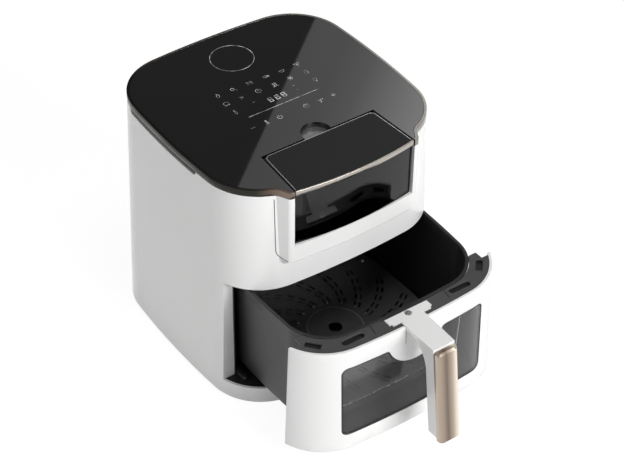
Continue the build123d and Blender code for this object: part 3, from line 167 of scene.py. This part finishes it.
# Seen straight on, the sweep is paper white, and the machine's shadow still falls on it.
paper_glow, paper_share, sweep_half = 1.15, 0.8, 60
sweep_white, feed, place = finish("sweep_white", Roughness=0.95)
feed(Base_Color=place.noise(6).tint((0.86, 0.86, 0.86), (0.88, 0.88, 0.88)))
rays = ("Is Camera Ray", "Is Glossy Ray", "Is Transmission Ray")
seen = sum(place.make("ShaderNodeLightPath", out=ray) for ray in rays).maths("MINIMUM", 1)
lit_paper = Wire(sweep_white.node_tree.nodes["Principled BSDF"].outputs[0])
glow = place.make("ShaderNodeEmission", sockets={"Strength": paper_glow})
paper = place.make("ShaderNodeMixShader", sockets={0: seen * paper_share, 1: lit_paper, 2: glow})
surface = sweep_white.node_tree.nodes["Material Output"].inputs[0]
sweep_white.node_tree.links.new(paper.socket, surface)
sheet = bmesh.new()
bmesh.ops.create_grid(sheet, x_segments=1, y_segments=1, size=sweep_half)
sweep = build("sweep", sheet, sweep_white)

world = bpy.data.worlds.new("studio")
bpy.context.scene.world = world
world.use_nodes = True
world.node_tree.nodes["Background"].inputs["Color"].default_value = (1, 1, 1, 1)
world.node_tree.nodes["Background"].inputs["Strength"].default_value = 0.17


def softbox(name, place, aim, width, height, watts):
    """A rectangular lamp that faces a point."""
    lamp = bpy.data.objects.new(name, bpy.data.lights.new(name, "AREA"))
    bpy.context.scene.collection.objects.link(lamp)
    lamp.data.shape = "RECTANGLE"
    lamp.data.size = width
    lamp.data.size_y = height
    lamp.data.energy = watts
    turn = (Vector(aim) - Vector(place)).to_track_quat("-Z", "Y").to_matrix().to_4x4()
    lamp.matrix_world = Matrix.Translation(place) @ turn


softbox("front_softbox", (0.55, -2.4, 1.3), aim=(0, 0, 0.15), width=1.4, height=1.2, watts=55)
softbox("left_softbox", (-2.3, -0.4, 1.2), aim=(0, 0, 0.15), width=1.2, height=1.2, watts=11)
softbox("top_softbox", (0.1, -0.5, 2.4), aim=(0, -0.1, 0), width=1.0, height=1.0, watts=14)

# An upright card behind the machine, cut aslant on its left, is mirrored in one side of the
# glass top. It glows more strongly further from the slanting edge.
card_y, card_low, card_high = 2.5, 2.09, 2.99
edge_low, edge_high, card_right = 1.85, 1.35, 2.7
glow_near, glow_far = 2.6, 3.3
card_light, feed, place = finish("card_light", Roughness=1.0, Emission_Strength=1.0)
away = Vector((card_high - card_low, edge_low - edge_high)).normalized()
reach = place.axis("X") * away.x + place.axis("Z") * away.y
shades = [(spot, (level, level, level)) for spot, level in ((0, 0.85), (0.3, 0.95), (0.5, 1.2), (1, 2.7))]
feed(
    Base_Color=place.noise(3).tint((0, 0, 0), (0.01, 0.01, 0.01)),
    Emission_Color=reach.above(glow_near, glow_far).ramp(*shades),
)
card_shape = bmesh.new()
left_edge = ((edge_low, card_low), (edge_high, card_high))
right_edge = ((card_right, card_high), (card_right, card_low))
card_shape.faces.new([card_shape.verts.new((x, card_y, z)) for x, z in left_edge + right_edge])
card = build("card", card_shape, card_light)

# ---------------------------------------------------------------- Housing shell
# The wrap-round housing, the jambs of its bay, the drawer's front and the handle's arm are
# glossy white ABS, polished in the mould, with the faint waviness of a large moulding.
shell_white, feed, place = finish("shell_white", Coat_Weight=0.3, Coat_Roughness=0.05, IOR=1.49)
feed(
    Base_Color=place.noise(5).tint((0.82, 0.82, 0.815), (0.85, 0.85, 0.845)),
    Roughness=place.noise(40, 4) * 0.08 + 0.2,
    Normal=place.noise(14, 1).bump(0.02, 0.002),
)


def dress(material, *names):
    """Gives CAD nodes a material in place of their own."""
    for name in names:
        for slot in nodes[name].material_slots:
            slot.material = material


def ease(width, *names, segments=2):
    """Rounds the moulded or rolled edges of CAD nodes."""
    for name in names:
        join = nodes[name].modifiers.new("join", "WELD")
        join.merge_threshold = 0.00002
        edge = nodes[name].modifiers.new("edge", "BEVEL")
        edge.width = width
        edge.segments = segments
        edge.limit_method = "ANGLE"
        edge.angle_limit = radians(35)
        edge.harden_normals = True


dress(shell_white, "outer_shell", "drawer_front", "handle_arm", "jamb_right", "jamb_left")
ease(0.0008, "drawer_front")
ease(0.0006, "jamb_right", "jamb_left")
ease(0.0005, "handle_arm")

# ---------------------------------------------------------------- Crease and seam
# A fine crease follows the pad round the tank, down its left side and along its foot. A
# seam beside the handle splits the drawer's front above the window. Both are thin strips
# that lie on the plastic, in the grey of the shadow in such a gap.
seam_grey, feed, place = finish("seam_grey")
feed(
    Base_Color=place.noise(70, 3).tint((0.1, 0.1, 0.1), (0.16, 0.16, 0.16)),
    Roughness=place.noise(200) * 0.2 + 0.5,
)


def arc(radius, start=0, end=360, x=0, y=0, squash=1, step=15):
    """Points along a part of a ring, about a step of some degrees apart."""
    steps = max(3, round(abs(end - start) / step))
    angles = [radians(start + (end - start) * count / steps) for count in range(steps + 1)]
    return [(x + radius * cos(a), y + radius * squash * sin(a)) for a in angles]


def run(first, last, steps):
    """Points along a straight line, from the first to the last in so many steps."""
    start, way = Vector(first), Vector(last) - Vector(first)
    return [tuple(start + way * count / steps) for count in range(steps + 1)]


def sleeve(shape, rows, closed=False):
    """Joins rows of four corners into a strip, capped at its ends unless it runs in a ring."""
    for first, second in zip(rows, rows[1:] + rows[:1] if closed else rows[1:]):
        for near, far in ((0, 1), (1, 2), (2, 3), (3, 0)):
            shape.faces.new((first[near], first[far], second[far], second[near]))
    if not closed:
        shape.faces.new(rows[0])
        shape.faces.new(rows[-1][::-1])


def groove(name, node, path, width, depth, material):
    """A fine line that follows a CAD node's front, along points given as (across, up)."""
    tree = BVHTree.FromObject(nodes[node], bpy.context.evaluated_depsgraph_get())
    ahead, inward = Vector((0, -1, 0)), Vector((0, 1, 0))
    line, rows = bmesh.new(), []
    for step, (x, z) in enumerate(path):
        before, after = path[max(step - 1, 0)], path[min(step + 1, len(path) - 1)]
        along = Vector((after[0] - before[0], 0, after[1] - before[1])).normalized()
        aside = Vector((-along.z, 0, along.x)) * width / 2
        point = Vector((x, 0, z)) + ahead
        hits = [tree.ray_cast(start, inward)[:2] for start in (point - aside, point + aside)]
        if (None, None) not in hits:
            low, high = ((spot, spot + normal * depth) for spot, normal in hits)
            rows.append([line.verts.new(corner) for corner in (*low, *high[::-1])])
    sleeve(line, rows)
    bmesh.ops.recalc_face_normals(line, faces=line.faces)
    return build(name, line, material)


tank_low, tank_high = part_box("tank_body")
crease_x = tank_low.x - 0.0174
crease_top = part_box("outer_shell")[1].z - 0.0052
crease_foot = tank_low.z - 0.0225
crease_end = tank_high.x - 0.0008
crease_turn, crease_width, crease_depth = 0.014, 0.001, 0.00015
turn_x, turn_z = crease_x + crease_turn, crease_foot + crease_turn
crease = run((crease_x, crease_top), (crease_x, turn_z), 18)[:-1]
crease += arc(crease_turn, 180, 270, turn_x, turn_z, step=11.25)
crease += run((turn_x, crease_foot), (crease_end, crease_foot), 40)[1:]
pad_crease = groove("pad_crease", "outer_shell", crease, crease_width, crease_depth, seam_grey)
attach(pad_crease, "housing")

seam_x, seam_width, seam_depth = -0.015, 0.0005, 0.00012
seam_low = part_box("drawer_window")[1].z + 0.0009
seam_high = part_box("drawer_front")[1].z - 0.0011
seam = run((seam_x, seam_low), (seam_x, seam_high), 8)
panel_seam = groove("panel_seam", "drawer_front", seam, seam_width, seam_depth, seam_grey)
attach(panel_seam, "drawer")

# ---------------------------------------------------------------- Black mouldings
# Everything under the top and behind the drawer is black ABS or nylon with a fine
# spark-eroded grain: base, bay, deck, tank bay, vents, fan, pump and finger well.
grained_black, feed, place = finish("grained_black", IOR=1.5)
grain = place.cells(1400)
feed(
    Base_Color=place.noise(25, 3).tint((0.009, 0.009, 0.0095), (0.014, 0.014, 0.0145)),
    Roughness=grain * 0.15 + 0.38,
    Normal=grain.bump(0.25, 0.0002),
)
dress(
    grained_black, "base_plate", "bay_floor", "floor_runners", "liner", "tank_bay", "tank_dock",
    "top_deck", "finger_well", "inlet_meshes", "rear_vent", "cord_gland", "cooling_fan",
    "water_pump", "window_tunnel", "tank_valve",
)
ease(0.0006, "base_plate", "bay_floor", "tank_bay", "rear_vent", "cord_gland")

# ---------------------------------------------------------------- Feet and seals
# The feet are moulded rubber with a pebbled skin. The window's gasket, the lid's seal and
# the crisper plate's legs and bumpers are black silicone, which is smoother.
foot_rubber, feed, place = finish("foot_rubber")
pebbles = place.cells(900)
feed(
    Base_Color=place.noise(60).tint((0.012, 0.012, 0.012), (0.02, 0.02, 0.02)),
    Roughness=pebbles * 0.2 + 0.6,
    Normal=pebbles.bump(0.4, 0.0003),
)
dress(foot_rubber, "feet")
silicone, feed, place = finish("silicone", IOR=1.42)
feed(
    Base_Color=place.noise(50).tint((0.01, 0.01, 0.01), (0.016, 0.016, 0.016)),
    Roughness=place.noise(300, 4) * 0.15 + 0.42,
    Normal=place.noise(700, 2).bump(0.1, 0.0001),
)
dress(silicone, "window_gasket", "lid_seal", "crisper_feet", "crisper_bumpers")

# ---------------------------------------------------------------- Sheet steel and screws
# The dome, divider, brackets and hot-air fan are galvanised sheet with a spangle of zinc
# crystals. Shaft, guard, rails, screws, pins and rivets are bright steel with fine scratches.
zinc, feed, place = finish("zinc", Metallic=1.0)
spangle = place.make("ShaderNodeTexVoronoi", sockets={"Vector": place, "Scale": 170}, out="Color")
crystal = spangle.make("ShaderNodeSeparateColor", sockets={0: spangle})
feed(
    Base_Color=crystal.tint((0.36, 0.37, 0.38), (0.5, 0.51, 0.52)),
    Roughness=crystal * 0.16 + 0.3,
    Normal=place.noise(400).bump(0.06, 0.0002),
)
dress(zinc, "divider_plate", "heat_dome", "motor_bracket", "hot_air_fan")
bright_steel, feed, place = finish("bright_steel", Metallic=1.0)
scratches = place.noise(260, 5, (1, 9, 1))
feed(
    Base_Color=scratches.tint((0.52, 0.52, 0.53), (0.66, 0.66, 0.67)),
    Roughness=scratches * 0.2 + 0.17,
    Normal=scratches.bump(0.08, 0.0001),
)
dress(
    bright_steel, "base_screws", "board_screws", "side_rails", "fan_guard", "fan_shaft",
    "hinge_pins", "temperature_probe", "handle_bracket", "handle_screw", "crisper_rivets",
)

# ---------------------------------------------------------------- Heater, motor and steam unit
# The heating tube is steel with a straw-brown heat stain, the motor's can is black enamel,
# and the steam generator and cutout are die-cast zinc alloy with a sandy skin.
stained_steel, feed, place = finish("stained_steel", Metallic=1.0)
stain = place.noise(45, 4)
soot, straw, blued = (0.13, 0.12, 0.12), (0.24, 0.19, 0.14), (0.2, 0.2, 0.23)
feed(
    Base_Color=stain.ramp((0.3, soot), (0.55, straw), (0.75, blued)),
    Roughness=stain * 0.25 + 0.3,
)
dress(stained_steel, "heater_coil")
enamel_black, feed, place = finish("enamel_black", Coat_Weight=0.4)
feed(
    Base_Color=place.noise(80).tint((0.014, 0.014, 0.015), (0.024, 0.024, 0.025)),
    Roughness=place.noise(150, 4) * 0.2 + 0.3,
    Normal=place.noise(220, 3).bump(0.12, 0.0002),
)
dress(enamel_black, "motor")
cast_zinc, feed, place = finish("cast_zinc", Metallic=0.9)
sand = place.noise(900, 5)
feed(
    Base_Color=place.noise(60).tint((0.3, 0.3, 0.31), (0.4, 0.4, 0.41)),
    Roughness=sand * 0.2 + 0.42,
    Normal=sand.bump(0.35, 0.0003),
)
dress(cast_zinc, "steam_generator", "thermal_cutout")

# ---------------------------------------------------------------- Hoses
# The feed hose and the steam unit's pipe are milky silicone tube, cut from extruded
# lengths, with the faint streaks that extrusion leaves.
milky_tube, feed, place = finish("milky_tube", Transmission_Weight=0.35, IOR=1.41)
streaks = place.noise(500, 3, (1, 1, 0.1))
feed(
    Base_Color=streaks.tint((0.62, 0.62, 0.6), (0.74, 0.74, 0.72)),
    Roughness=streaks * 0.2 + 0.3,
)
dress(milky_tube, "feed_hose", "water_pipe")

# ---------------------------------------------------------------- Circuit boards
# The display's and the power board are glass-fibre laminate. Copper tracks run in straight
# steps under their green solder mask and show as paler lines.
solder_mask, feed, place = finish("solder_mask", Coat_Weight=0.5, Coat_Roughness=0.15)
tracks = place.make(
    "ShaderNodeTexBrick",
    {"offset": 0.35, "squash": 1.7, "squash_frequency": 3},
    {
        "Vector": place,
        "Scale": 300,
        "Mortar Size": 0.06,
        "Mortar Smooth": 0.1,
        "Color1": (0.008, 0.075, 0.028, 1),
        "Color2": (0.011, 0.095, 0.035, 1),
        "Mortar": (0.03, 0.17, 0.07, 1),
    },
)
feed(Base_Color=tracks, Roughness=place.noise(200) * 0.15 + 0.3)
dress(solder_mask, "display_board", "power_board")

# ---------------------------------------------------------------- Glass top
# The top is one sheet of toughened glass with polished edges, printed black on its back. It
# lies inside the trim ring, and the controls show on it.
black_glass, feed, place = finish("black_glass", IOR=1.52)
feed(
    Base_Color=place.noise(8).tint((0.003, 0.003, 0.0035), (0.005, 0.005, 0.0055)),
    Roughness=place.noise(30, 3) * 0.015 + 0.015,
)
dress(black_glass, "top_glass")

# ---------------------------------------------------------------- Trim
# The ring round the top and the strip on the lid's front are extruded aluminium, brushed
# finely and anodised. The ring's colour is a painted reflection, dark olive on its left over copper to
# bright silver on its right; the strip is silver.
anodised_trim, feed, place = finish("anodised_trim", Metallic=1.0)
brush = place.noise(500, 4, (1, 1, 6))
# These three colours are a painted reflection across the ring, dark on its left and bright on its right.
trim_dark_reflection, trim_copper_sheen, trim_bright_reflection = (0.035, 0.034, 0.03), (0.2, 0.15, 0.12), (0.3, 0.285, 0.265)
across = place.axis("X").above(-0.15, 0.15)
feed(
    Base_Color=across.ramp((0, trim_dark_reflection), (0.12, trim_dark_reflection), (0.2, trim_copper_sheen), (0.6, trim_bright_reflection)),
    Roughness=brush * 0.16 + 0.16,
    Normal=brush.bump(0.05, 0.0001),
)
dress(anodised_trim, "trim_ring")
bright_trim, feed, place = finish("bright_trim", Metallic=1.0)
brush = place.noise(500, 4, (1, 6, 6))
feed(
    Base_Color=place.noise(12).tint((0.4, 0.37, 0.335), (0.5, 0.47, 0.43)),
    Roughness=brush * 0.14 + 0.16,
    Normal=brush.bump(0.05, 0.0001),
)
dress(bright_trim, "lid_trim")
ease(0.0004, "trim_ring", "lid_trim")

# ---------------------------------------------------------------- Controls
# Symbols, a plain number and a rule are printed on the glass in pale grey, and light up from
# behind. A thin ring marks the middle of the rear half; nothing stands inside it.
legend, feed, place = finish("legend", Emission_Strength=0.4)
lit = place.noise(120, 1).above(0.42, 0.62)
feed(
    Base_Color=lit.tint((0.12, 0.12, 0.12), (0.42, 0.42, 0.41)),
    Emission_Color=lit.tint((0.25, 0.25, 0.25), (1, 1, 0.97)),
    Roughness=place.noise(300) * 0.1 + 0.45,
)

# Each symbol is a list of strokes, drawn in a square that reaches from -1 to 1.
symbols = {
    "flame": [[(0, 1), (0.55, 0.2), (0.5, -0.5), (0, -1), (-0.5, -0.5), (-0.4, 0), (-0.1, 0.2), (0, 1)]],
    "drop": [[(0, 1), (0.55, 0)] + arc(0.62, -10, -170, y=-0.3) + [(-0.55, 0), (0, 1)]],
    "steam": [arc(0.3, -90, 90, x, y) for x in (-0.6, 0.1) for y in (-0.4, 0.4)] + [[(-1, -1), (1, -1)]],
    "wedge": [[(-1, 0.6), (1, 0.6), (0, -1), (-1, 0.6)], arc(0.2)],
    "dish": [arc(0.9, 180, 360, y=0.1), [(-1, 0.1), (1, 0.1)], [(-0.4, -0.9), (0.4, -0.9)]],
    "frost": [[(cos(a), sin(a)), (-cos(a), -sin(a))] for a in (0, pi / 3, 2 * pi / 3)],
    "leaf": [arc(1.2, 20, 80, -0.9, -0.7), arc(1.2, 200, 260, 0.5, 0.9), [(-0.7, -0.7), (0.5, 0.5)]],
    "clock": [arc(0.9), [(0, 0.55), (0, 0), (0.4, -0.2)]],
    "fish": [arc(0.8, x=-0.15, squash=0.5), [(0.6, 0), (1, 0.5), (1, -0.5), (0.6, 0)]],
    "leg": [arc(0.55, x=-0.25, y=0.25), [(0.15, -0.15), (0.9, -0.9)]],
    "fan": [arc(0.25)] + [
        arc(0.4, turn, turn + 180, 0.6 * cos(radians(turn)), 0.6 * sin(radians(turn)))
        for turn in (0, 120, 240)
    ],
    "loaf": [[(-0.8, -0.8), (0.8, -0.8)] + arc(0.8, 0, 180, y=0.2, squash=0.8) + [(-0.8, -0.8)]],
    "gauge": [arc(0.35, 60, -240, y=-0.6), [(-0.18, -0.25), (-0.18, 1), (0.18, 1), (0.18, -0.25)]],
    "minus": [[(-0.8, 0), (0.8, 0)]],
    "plus": [[(-0.8, 0), (0.8, 0)], [(0, -0.8), (0, 0.8)]],
    "start": [[(-0.8, 0.7), (-0.8, -0.7), (0.2, 0), (-0.8, 0.7)]]
    + [[(x, 0.7), (x, -0.7)] for x in (0.5, 0.9)],
    "power": [arc(0.8, 125, 415), [(0, 0.2), (0, 1)]],
    "bulb": [arc(0.6, -60, 240, y=0.3), [(-0.25, -0.6), (0.25, -0.6)], [(-0.2, -0.9), (0.2, -0.9)]],
    "tick": [[(-0.4, 0), (0.4, 0)]],
}

# The rows of symbols are placed from the middle of the housing.
symbol_half, symbol_stroke = 0.0038, 0.0005
columns = (-0.0537, -0.0319, -0.0099, 0.0125, 0.0343, 0.0562)
lower_columns = (-0.0536, -0.0354, -0.0178, 0.0187, 0.0376, 0.0558)
symbol_rows = (
    (0.0384, columns, ("flame", "leg", "start", "fish", "dish", "wedge")),
    (0.0201, columns, ("loaf", "leaf", "clock", "steam", "frost", "drop")),
    (0.0012, (columns[0], columns[-1]), ("gauge", "bulb")),
    (-0.0345, lower_columns, ("minus", "gauge", "power", "clock", "fan", "plus")),
)
marks = [(x, y, name) for y, places, names in symbol_rows for x, name in zip(places, names)]
marks += [(x, y, "tick") for x, y in ((-0.0266, 0.0051), (0.0293, 0.006), (0.0282, -0.0027))]
strokes = [
    ([(x + symbol_half * u, body_y + y + symbol_half * v) for u, v in line], symbol_stroke)
    for x, y, name in marks
    for line in symbols[name]
]

rule_left, rule_right, rule_y = -0.0467, 0.0488, body_y - 0.0154
strokes.append(([(rule_left, rule_y), (rule_right, rule_y)], symbol_stroke))
digit_half, digit_rise, digit_stroke = 0.0021, 0.0038, 0.0008
digit_columns, digit_y = (-0.0078, 0.0012, 0.0102), body_y - 0.0016
bars = [((-1, v), (1, v)) for v in (-1, 0, 1)] + [((u, v), (u, 0)) for u in (-1, 1) for v in (-1, 1)]
for x in digit_columns:
    for bar in bars:
        line = [(x + digit_half * u, digit_y + digit_rise * v) for u, v in bar]
        strokes.append((line, digit_stroke))
ring_radius, ring_x, ring_y, ring_stroke = 0.026, 0.001, body_y + 0.0915, 0.0006
strokes.append((arc(ring_radius, x=ring_x, y=ring_y, step=4), ring_stroke))

print_height = 0.00005


def ribbons(name, strokes, level, material):
    """Flat printed strokes on a level, each given as its points and its width."""
    rise = Vector((0, 0, print_height))
    shape = bmesh.new()
    for points, width in strokes:
        points = [Vector((*point, level)) for point in points]
        closed = (points[0] - points[-1]).length < width / 100
        if closed:
            points.pop()
        last = len(points) - 1
        rows = []
        for step, point in enumerate(points):
            before = points[step - 1 if closed else max(step - 1, 0)]
            after = points[(step + 1) % len(points) if closed else min(step + 1, last)]
            aside = (after - before).cross(rise).normalized() * width / 2
            corners = (point - aside, point + aside, point + aside + rise, point - aside + rise)
            rows.append([shape.verts.new(corner) for corner in corners])
        sleeve(shape, rows, closed)
    bmesh.ops.recalc_face_normals(shape, faces=shape.faces)
    return build(name, shape, material)


controls = ribbons("controls", strokes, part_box("top_glass")[1].z, legend)
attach(controls, "housing")

# ---------------------------------------------------------------- Finger well
# A spun aluminium disc lies on the floor of the black well behind the tank, where a finger
# reaches in to lift the tank out. Its fine rings are from the spinning.
spun_metal, feed, place = finish("spun_metal", Metallic=0.85)
well_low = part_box("well_disc")[0]
centre = (0, well_low.y, well_low.z)
outward = place.make("ShaderNodeVectorMath", {"operation": "SUBTRACT"}, {0: place, 1: centre})
radius = outward.make("ShaderNodeVectorMath", {"operation": "LENGTH"}, {0: outward}, out="Value")
rings = (radius * 9000).maths("SINE") * 0.5 + 0.5
feed(
    Base_Color=rings.tint((0.34, 0.34, 0.345), (0.42, 0.42, 0.425)),
    Roughness=rings * 0.1 + 0.3,
    Normal=rings.bump(0.2, 0.0001),
)
dress(spun_metal, "well_disc")

# ---------------------------------------------------------------- Tank and lid
# The tank is blown smoked copolyester. The lid is dark grey ABS with a fine matte texture,
# hinged on two pins at its rear.
smoked_clear, feed, place = finish("smoked_clear", Transmission_Weight=1.0, IOR=1.4)
feed(
    Base_Color=place.noise(9).tint((0.07, 0.068, 0.066), (0.09, 0.088, 0.086)),
    Roughness=place.noise(60, 3) * 0.02 + 0.015,
)
dress(smoked_clear, "tank_body")
matte_grey, feed, place = finish("matte_grey", IOR=1.46)
pits = place.cells(2200)
feed(
    Base_Color=place.noise(30).tint((0.007, 0.007, 0.0072), (0.01, 0.01, 0.0102)),
    Roughness=pits * 0.12 + 0.42,
    Normal=pits.bump(0.2, 0.0001),
)
dress(matte_grey, "tank_lid")
ease(0.0005, "tank_lid")

# A fine bright metal line along the lid's sides and back, just inside its edge, is a painted highlight of
# the lid's rounded rim.
lid_low, lid_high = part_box("tank_lid")
lid_inset, lid_taper, lid_round, lid_stroke = 0.0016, 0.0043, 0.006, 0.0007
line_front = (lid_high.x - lid_inset, lid_low.y + 0.0085)
turn_x, turn_y = line_front[0] - lid_taper - lid_round, lid_high.y - lid_inset - lid_round
right_half = [line_front] + arc(lid_round, 0, 90, turn_x, turn_y)
lid_path = right_half + [(-x, y) for x, y in reversed(right_half)]
# This bright strip is a painted highlight.
lid_highlight = ribbons("lid_highlight", [(lid_path, lid_stroke)], lid_high.z, bright_steel)
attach(lid_highlight, "lid")

# ---------------------------------------------------------------- Drawer's window
# Two panes of grey tempered glass, one in the panel and one in the basket's front wall,
# with a coating that keeps their reflections faint, most of all in the middle.
smoked_glass, feed, place = finish("smoked_glass", Transmission_Weight=1.0, IOR=1.22)
bare, thin, thick = (1, 1, 1), (0.45, 0.45, 0.45), (0.05, 0.05, 0.05)
across = place.axis("X").above(-0.1, 0.1)
feed(
    Base_Color=place.noise(7).tint((0.9, 0.905, 0.91), (0.94, 0.945, 0.95)),
    Coat_Weight=across.ramp((0, thin), (0.3, thick), (0.62, thick), (1, bare)),
    Roughness=place.noise(50, 3) * 0.02 + 0.01,
)
dress(smoked_glass, "drawer_window", "basket_glass")

# A narrow steel strip holds the inner pane's lower edge.
pane_low, pane_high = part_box("basket_glass")
strip_z = pane_low.z + 0.0016
strip_reach = pane_high.x - 0.004
strip_width, strip_depth = 0.0018, 0.0004
strip = run((-strip_reach, strip_z), (strip_reach, strip_z), 32)
pane_strip = groove("pane_strip", "basket_glass", strip, strip_width, strip_depth, bright_steel)
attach(pane_strip, "drawer")

# ---------------------------------------------------------------- Basket and crisper plate
# Deep-drawn steel with a sprayed non-stick coating: dark grey, satin, with a mineral fleck.
# The pressed plate's coat is glossier than the basket's, and painted a shade paler as painted light, for
# the light that falls into the basket.
nonstick, feed, place = finish("nonstick", IOR=1.45)
fleck = place.cells(1500).above(0.12, 0.02)
peel = place.noise(500, 3)
feed(
    Base_Color=(fleck * place.noise(40, 2)).tint((0.016, 0.016, 0.0165), (0.07, 0.07, 0.07)),
    Roughness=peel * 0.2 + 0.33,
    Normal=peel.bump(0.15, 0.0002),
)
dress(nonstick, "basket")
pressed, feed, place = finish("pressed", IOR=1.45)
fleck = place.cells(1500).above(0.12, 0.02)
grit = place.noise(650, 3)
# The plate's paler tint than the basket's is painted light.
feed(
    Base_Color=fleck.tint((0.085, 0.085, 0.0855), (0.22, 0.22, 0.22)),
    Roughness=grit * 0.16 + 0.26,
    Normal=grit.bump(0.12, 0.0002),
)
dress(pressed, "crisper_plate")
ease(0.0004, "basket", "crisper_plate")

# A pale ring round the raised dish is a painted highlight of its rim, and a small steel stud stands at
# the inner end of each row of slots, to hold food off the plate. The studs' pale grey is partly their own
# tone and partly a painted glint.
pale_grey_highlight, feed, place = finish("pale_grey_highlight", IOR=1.45)
sheen_mottle = place.noise(400, 3)
# This pale grey is a painted highlight on the dish's rim and partly a painted glint on the studs.
feed(
    Base_Color=sheen_mottle.tint((0.2, 0.2, 0.2), (0.5, 0.5, 0.5)),
    Roughness=sheen_mottle * 0.2 + 0.25,
)
plate_low, plate_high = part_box("crisper_plate")
plate_y = (plate_low.y + plate_high.y) / 2
highlight_radius, highlight_width = 0.0338, 0.0006
highlight_ring = arc(highlight_radius, y=plate_y, step=5)
dish_highlight = ribbons("dish_highlight", [(highlight_ring, highlight_width)], plate_high.z, pale_grey_highlight)
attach(dish_highlight, "crisper")

stud_rows, stud_reach, stud_radius, dish_step = 16, 0.0445, 0.0013, 0.002
studs = bmesh.new()
for x, y in arc(stud_reach, y=plate_y, step=360 / stud_rows)[:-1]:
    stud_place = Matrix.Translation((x, y, plate_high.z - dish_step))
    bmesh.ops.create_uvsphere(studs, u_segments=12, v_segments=8, radius=stud_radius, matrix=stud_place)
crisper_studs = build("crisper_studs", studs, pale_grey_highlight)
crisper_studs.data.shade_smooth()
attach(crisper_studs, "crisper")

# ---------------------------------------------------------------- Flange
# The flange that covers the gap between the drawer's front and the basket is dark grey
# nylon, moulded with a satin spark finish.
satin_grey, feed, place = finish("satin_grey", IOR=1.5)
spark = place.noise(1300, 4)
feed(
    Base_Color=place.noise(20).tint((0.05, 0.05, 0.0505), (0.062, 0.062, 0.0625)),
    Roughness=spark * 0.18 + 0.36,
    Normal=spark.bump(0.15, 0.0001),
)
dress(satin_grey, "flange_cover")
ease(0.0005, "flange_cover")

# Two hooked slits beside the handle's root let the flange flex. They are drawn as black strips on the
# flange's top, painted shade for the dark inside the slits. Their points are measured from the middle of
# the flange's front.
flange_low, flange_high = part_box("flange_cover")
slit_width = 0.0014
right_slit = ((0.0505, 0.0257), (0.0555, 0.0242), (0.0537, 0.0079))
left_slit = ((-0.041, 0.0247), (-0.046, 0.0237), (-0.0487, 0.0067))
slits = [([(x, flange_low.y + y) for x, y in slit], slit_width) for slit in (right_slit, left_slit)]
# These black strips are painted shade.
slit_shade_strips = ribbons("slit_shade_strips", slits, flange_high.z, grained_black)
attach(slit_shade_strips, "drawer")

# A black tray of the flange's outline closes the space under it: a sheet of painted shade, so its slots
# look dark.
# The outline is the longest rim of the flange's upper faces.
tray_drop, tray_sheet = 0.004, 0.0006
upper = bmesh.new()
upper.from_mesh(nodes["flange_cover"].data)
bmesh.ops.remove_doubles(upper, verts=upper.verts, dist=0.00001)
upper.normal_update()
lowest = flange_high.z - 0.0001
rest = [face for face in upper.faces if face.normal.z < 0.9 or face.calc_center_median().z < lowest]
bmesh.ops.delete(upper, geom=rest, context="FACES")
rims, unused = [], [edge for edge in upper.edges if edge.is_boundary]
while unused:
    rim = list(unused.pop().verts)
    while rim[-1] != rim[0]:
        onward = next(edge for edge in rim[-1].link_edges if edge in unused)
        unused.remove(onward)
        rim.append(onward.other_vert(rim[-1]))
    rims.append(rim[:-1])
tray = bmesh.new()
corners = [tray.verts.new(corner.co - Vector((0, 0, tray_drop))) for corner in max(rims, key=len)]
edges = [tray.edges.new(ends) for ends in zip(corners, corners[1:] + corners[:1])]
bmesh.ops.triangle_fill(tray, edges=edges, use_beauty=True)
tray.normal_update()
bmesh.ops.reverse_faces(tray, faces=[face for face in tray.faces if face.normal.z > 0])
upper.free()
# This black sheet is painted shade.
flange_shade_sheet = build("flange_shade_sheet", tray, grained_black)
skin = flange_shade_sheet.modifiers.new("skin", "SOLIDIFY")
skin.thickness = tray_sheet
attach(flange_shade_sheet, "drawer")

# ---------------------------------------------------------------- Handle's cover
# A pressed aluminium cover lies over the front of the handle's arm. It is brushed lengthwise and anodised
# bronze.
# Its colour across it is a painted reflection: a pale painted highlight at its left edge, dark down its
# middle, a bright painted highlight near its right edge and a painted shade at its right rim.
cover_low, cover_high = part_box("handle_cover")
# These colours are painted reflection, highlight and shade across the cover.
cover_edge_highlight, cover_half_reflection, cover_dark_reflection = (0.62, 0.52, 0.43), (0.46, 0.38, 0.31), (0.19, 0.15, 0.113)
cover_highlight, cover_edge_shade = (0.95, 0.84, 0.7), (0.5, 0.42, 0.34)
brushed_bronze, feed, place = finish("brushed_bronze", Metallic=0.9)
hairline = place.noise(900, 4, (1, 1, 0.03))
waver = 0.0016
across = (place.axis("X") + hairline * waver).above(cover_low.x - waver / 2, cover_high.x + waver)
feed(
    Base_Color=across.ramp(
        (0, cover_edge_highlight), (0.08, cover_half_reflection), (0.42, cover_dark_reflection), (0.66, cover_half_reflection), (0.86, cover_highlight), (1, cover_edge_shade)
    ),
    Roughness=hairline * 0.14 + 0.27,
    Normal=hairline.bump(0.08, 0.0001),
)
dress(brushed_bronze, "handle_cover")
ease(0.0007, "handle_cover", segments=3)
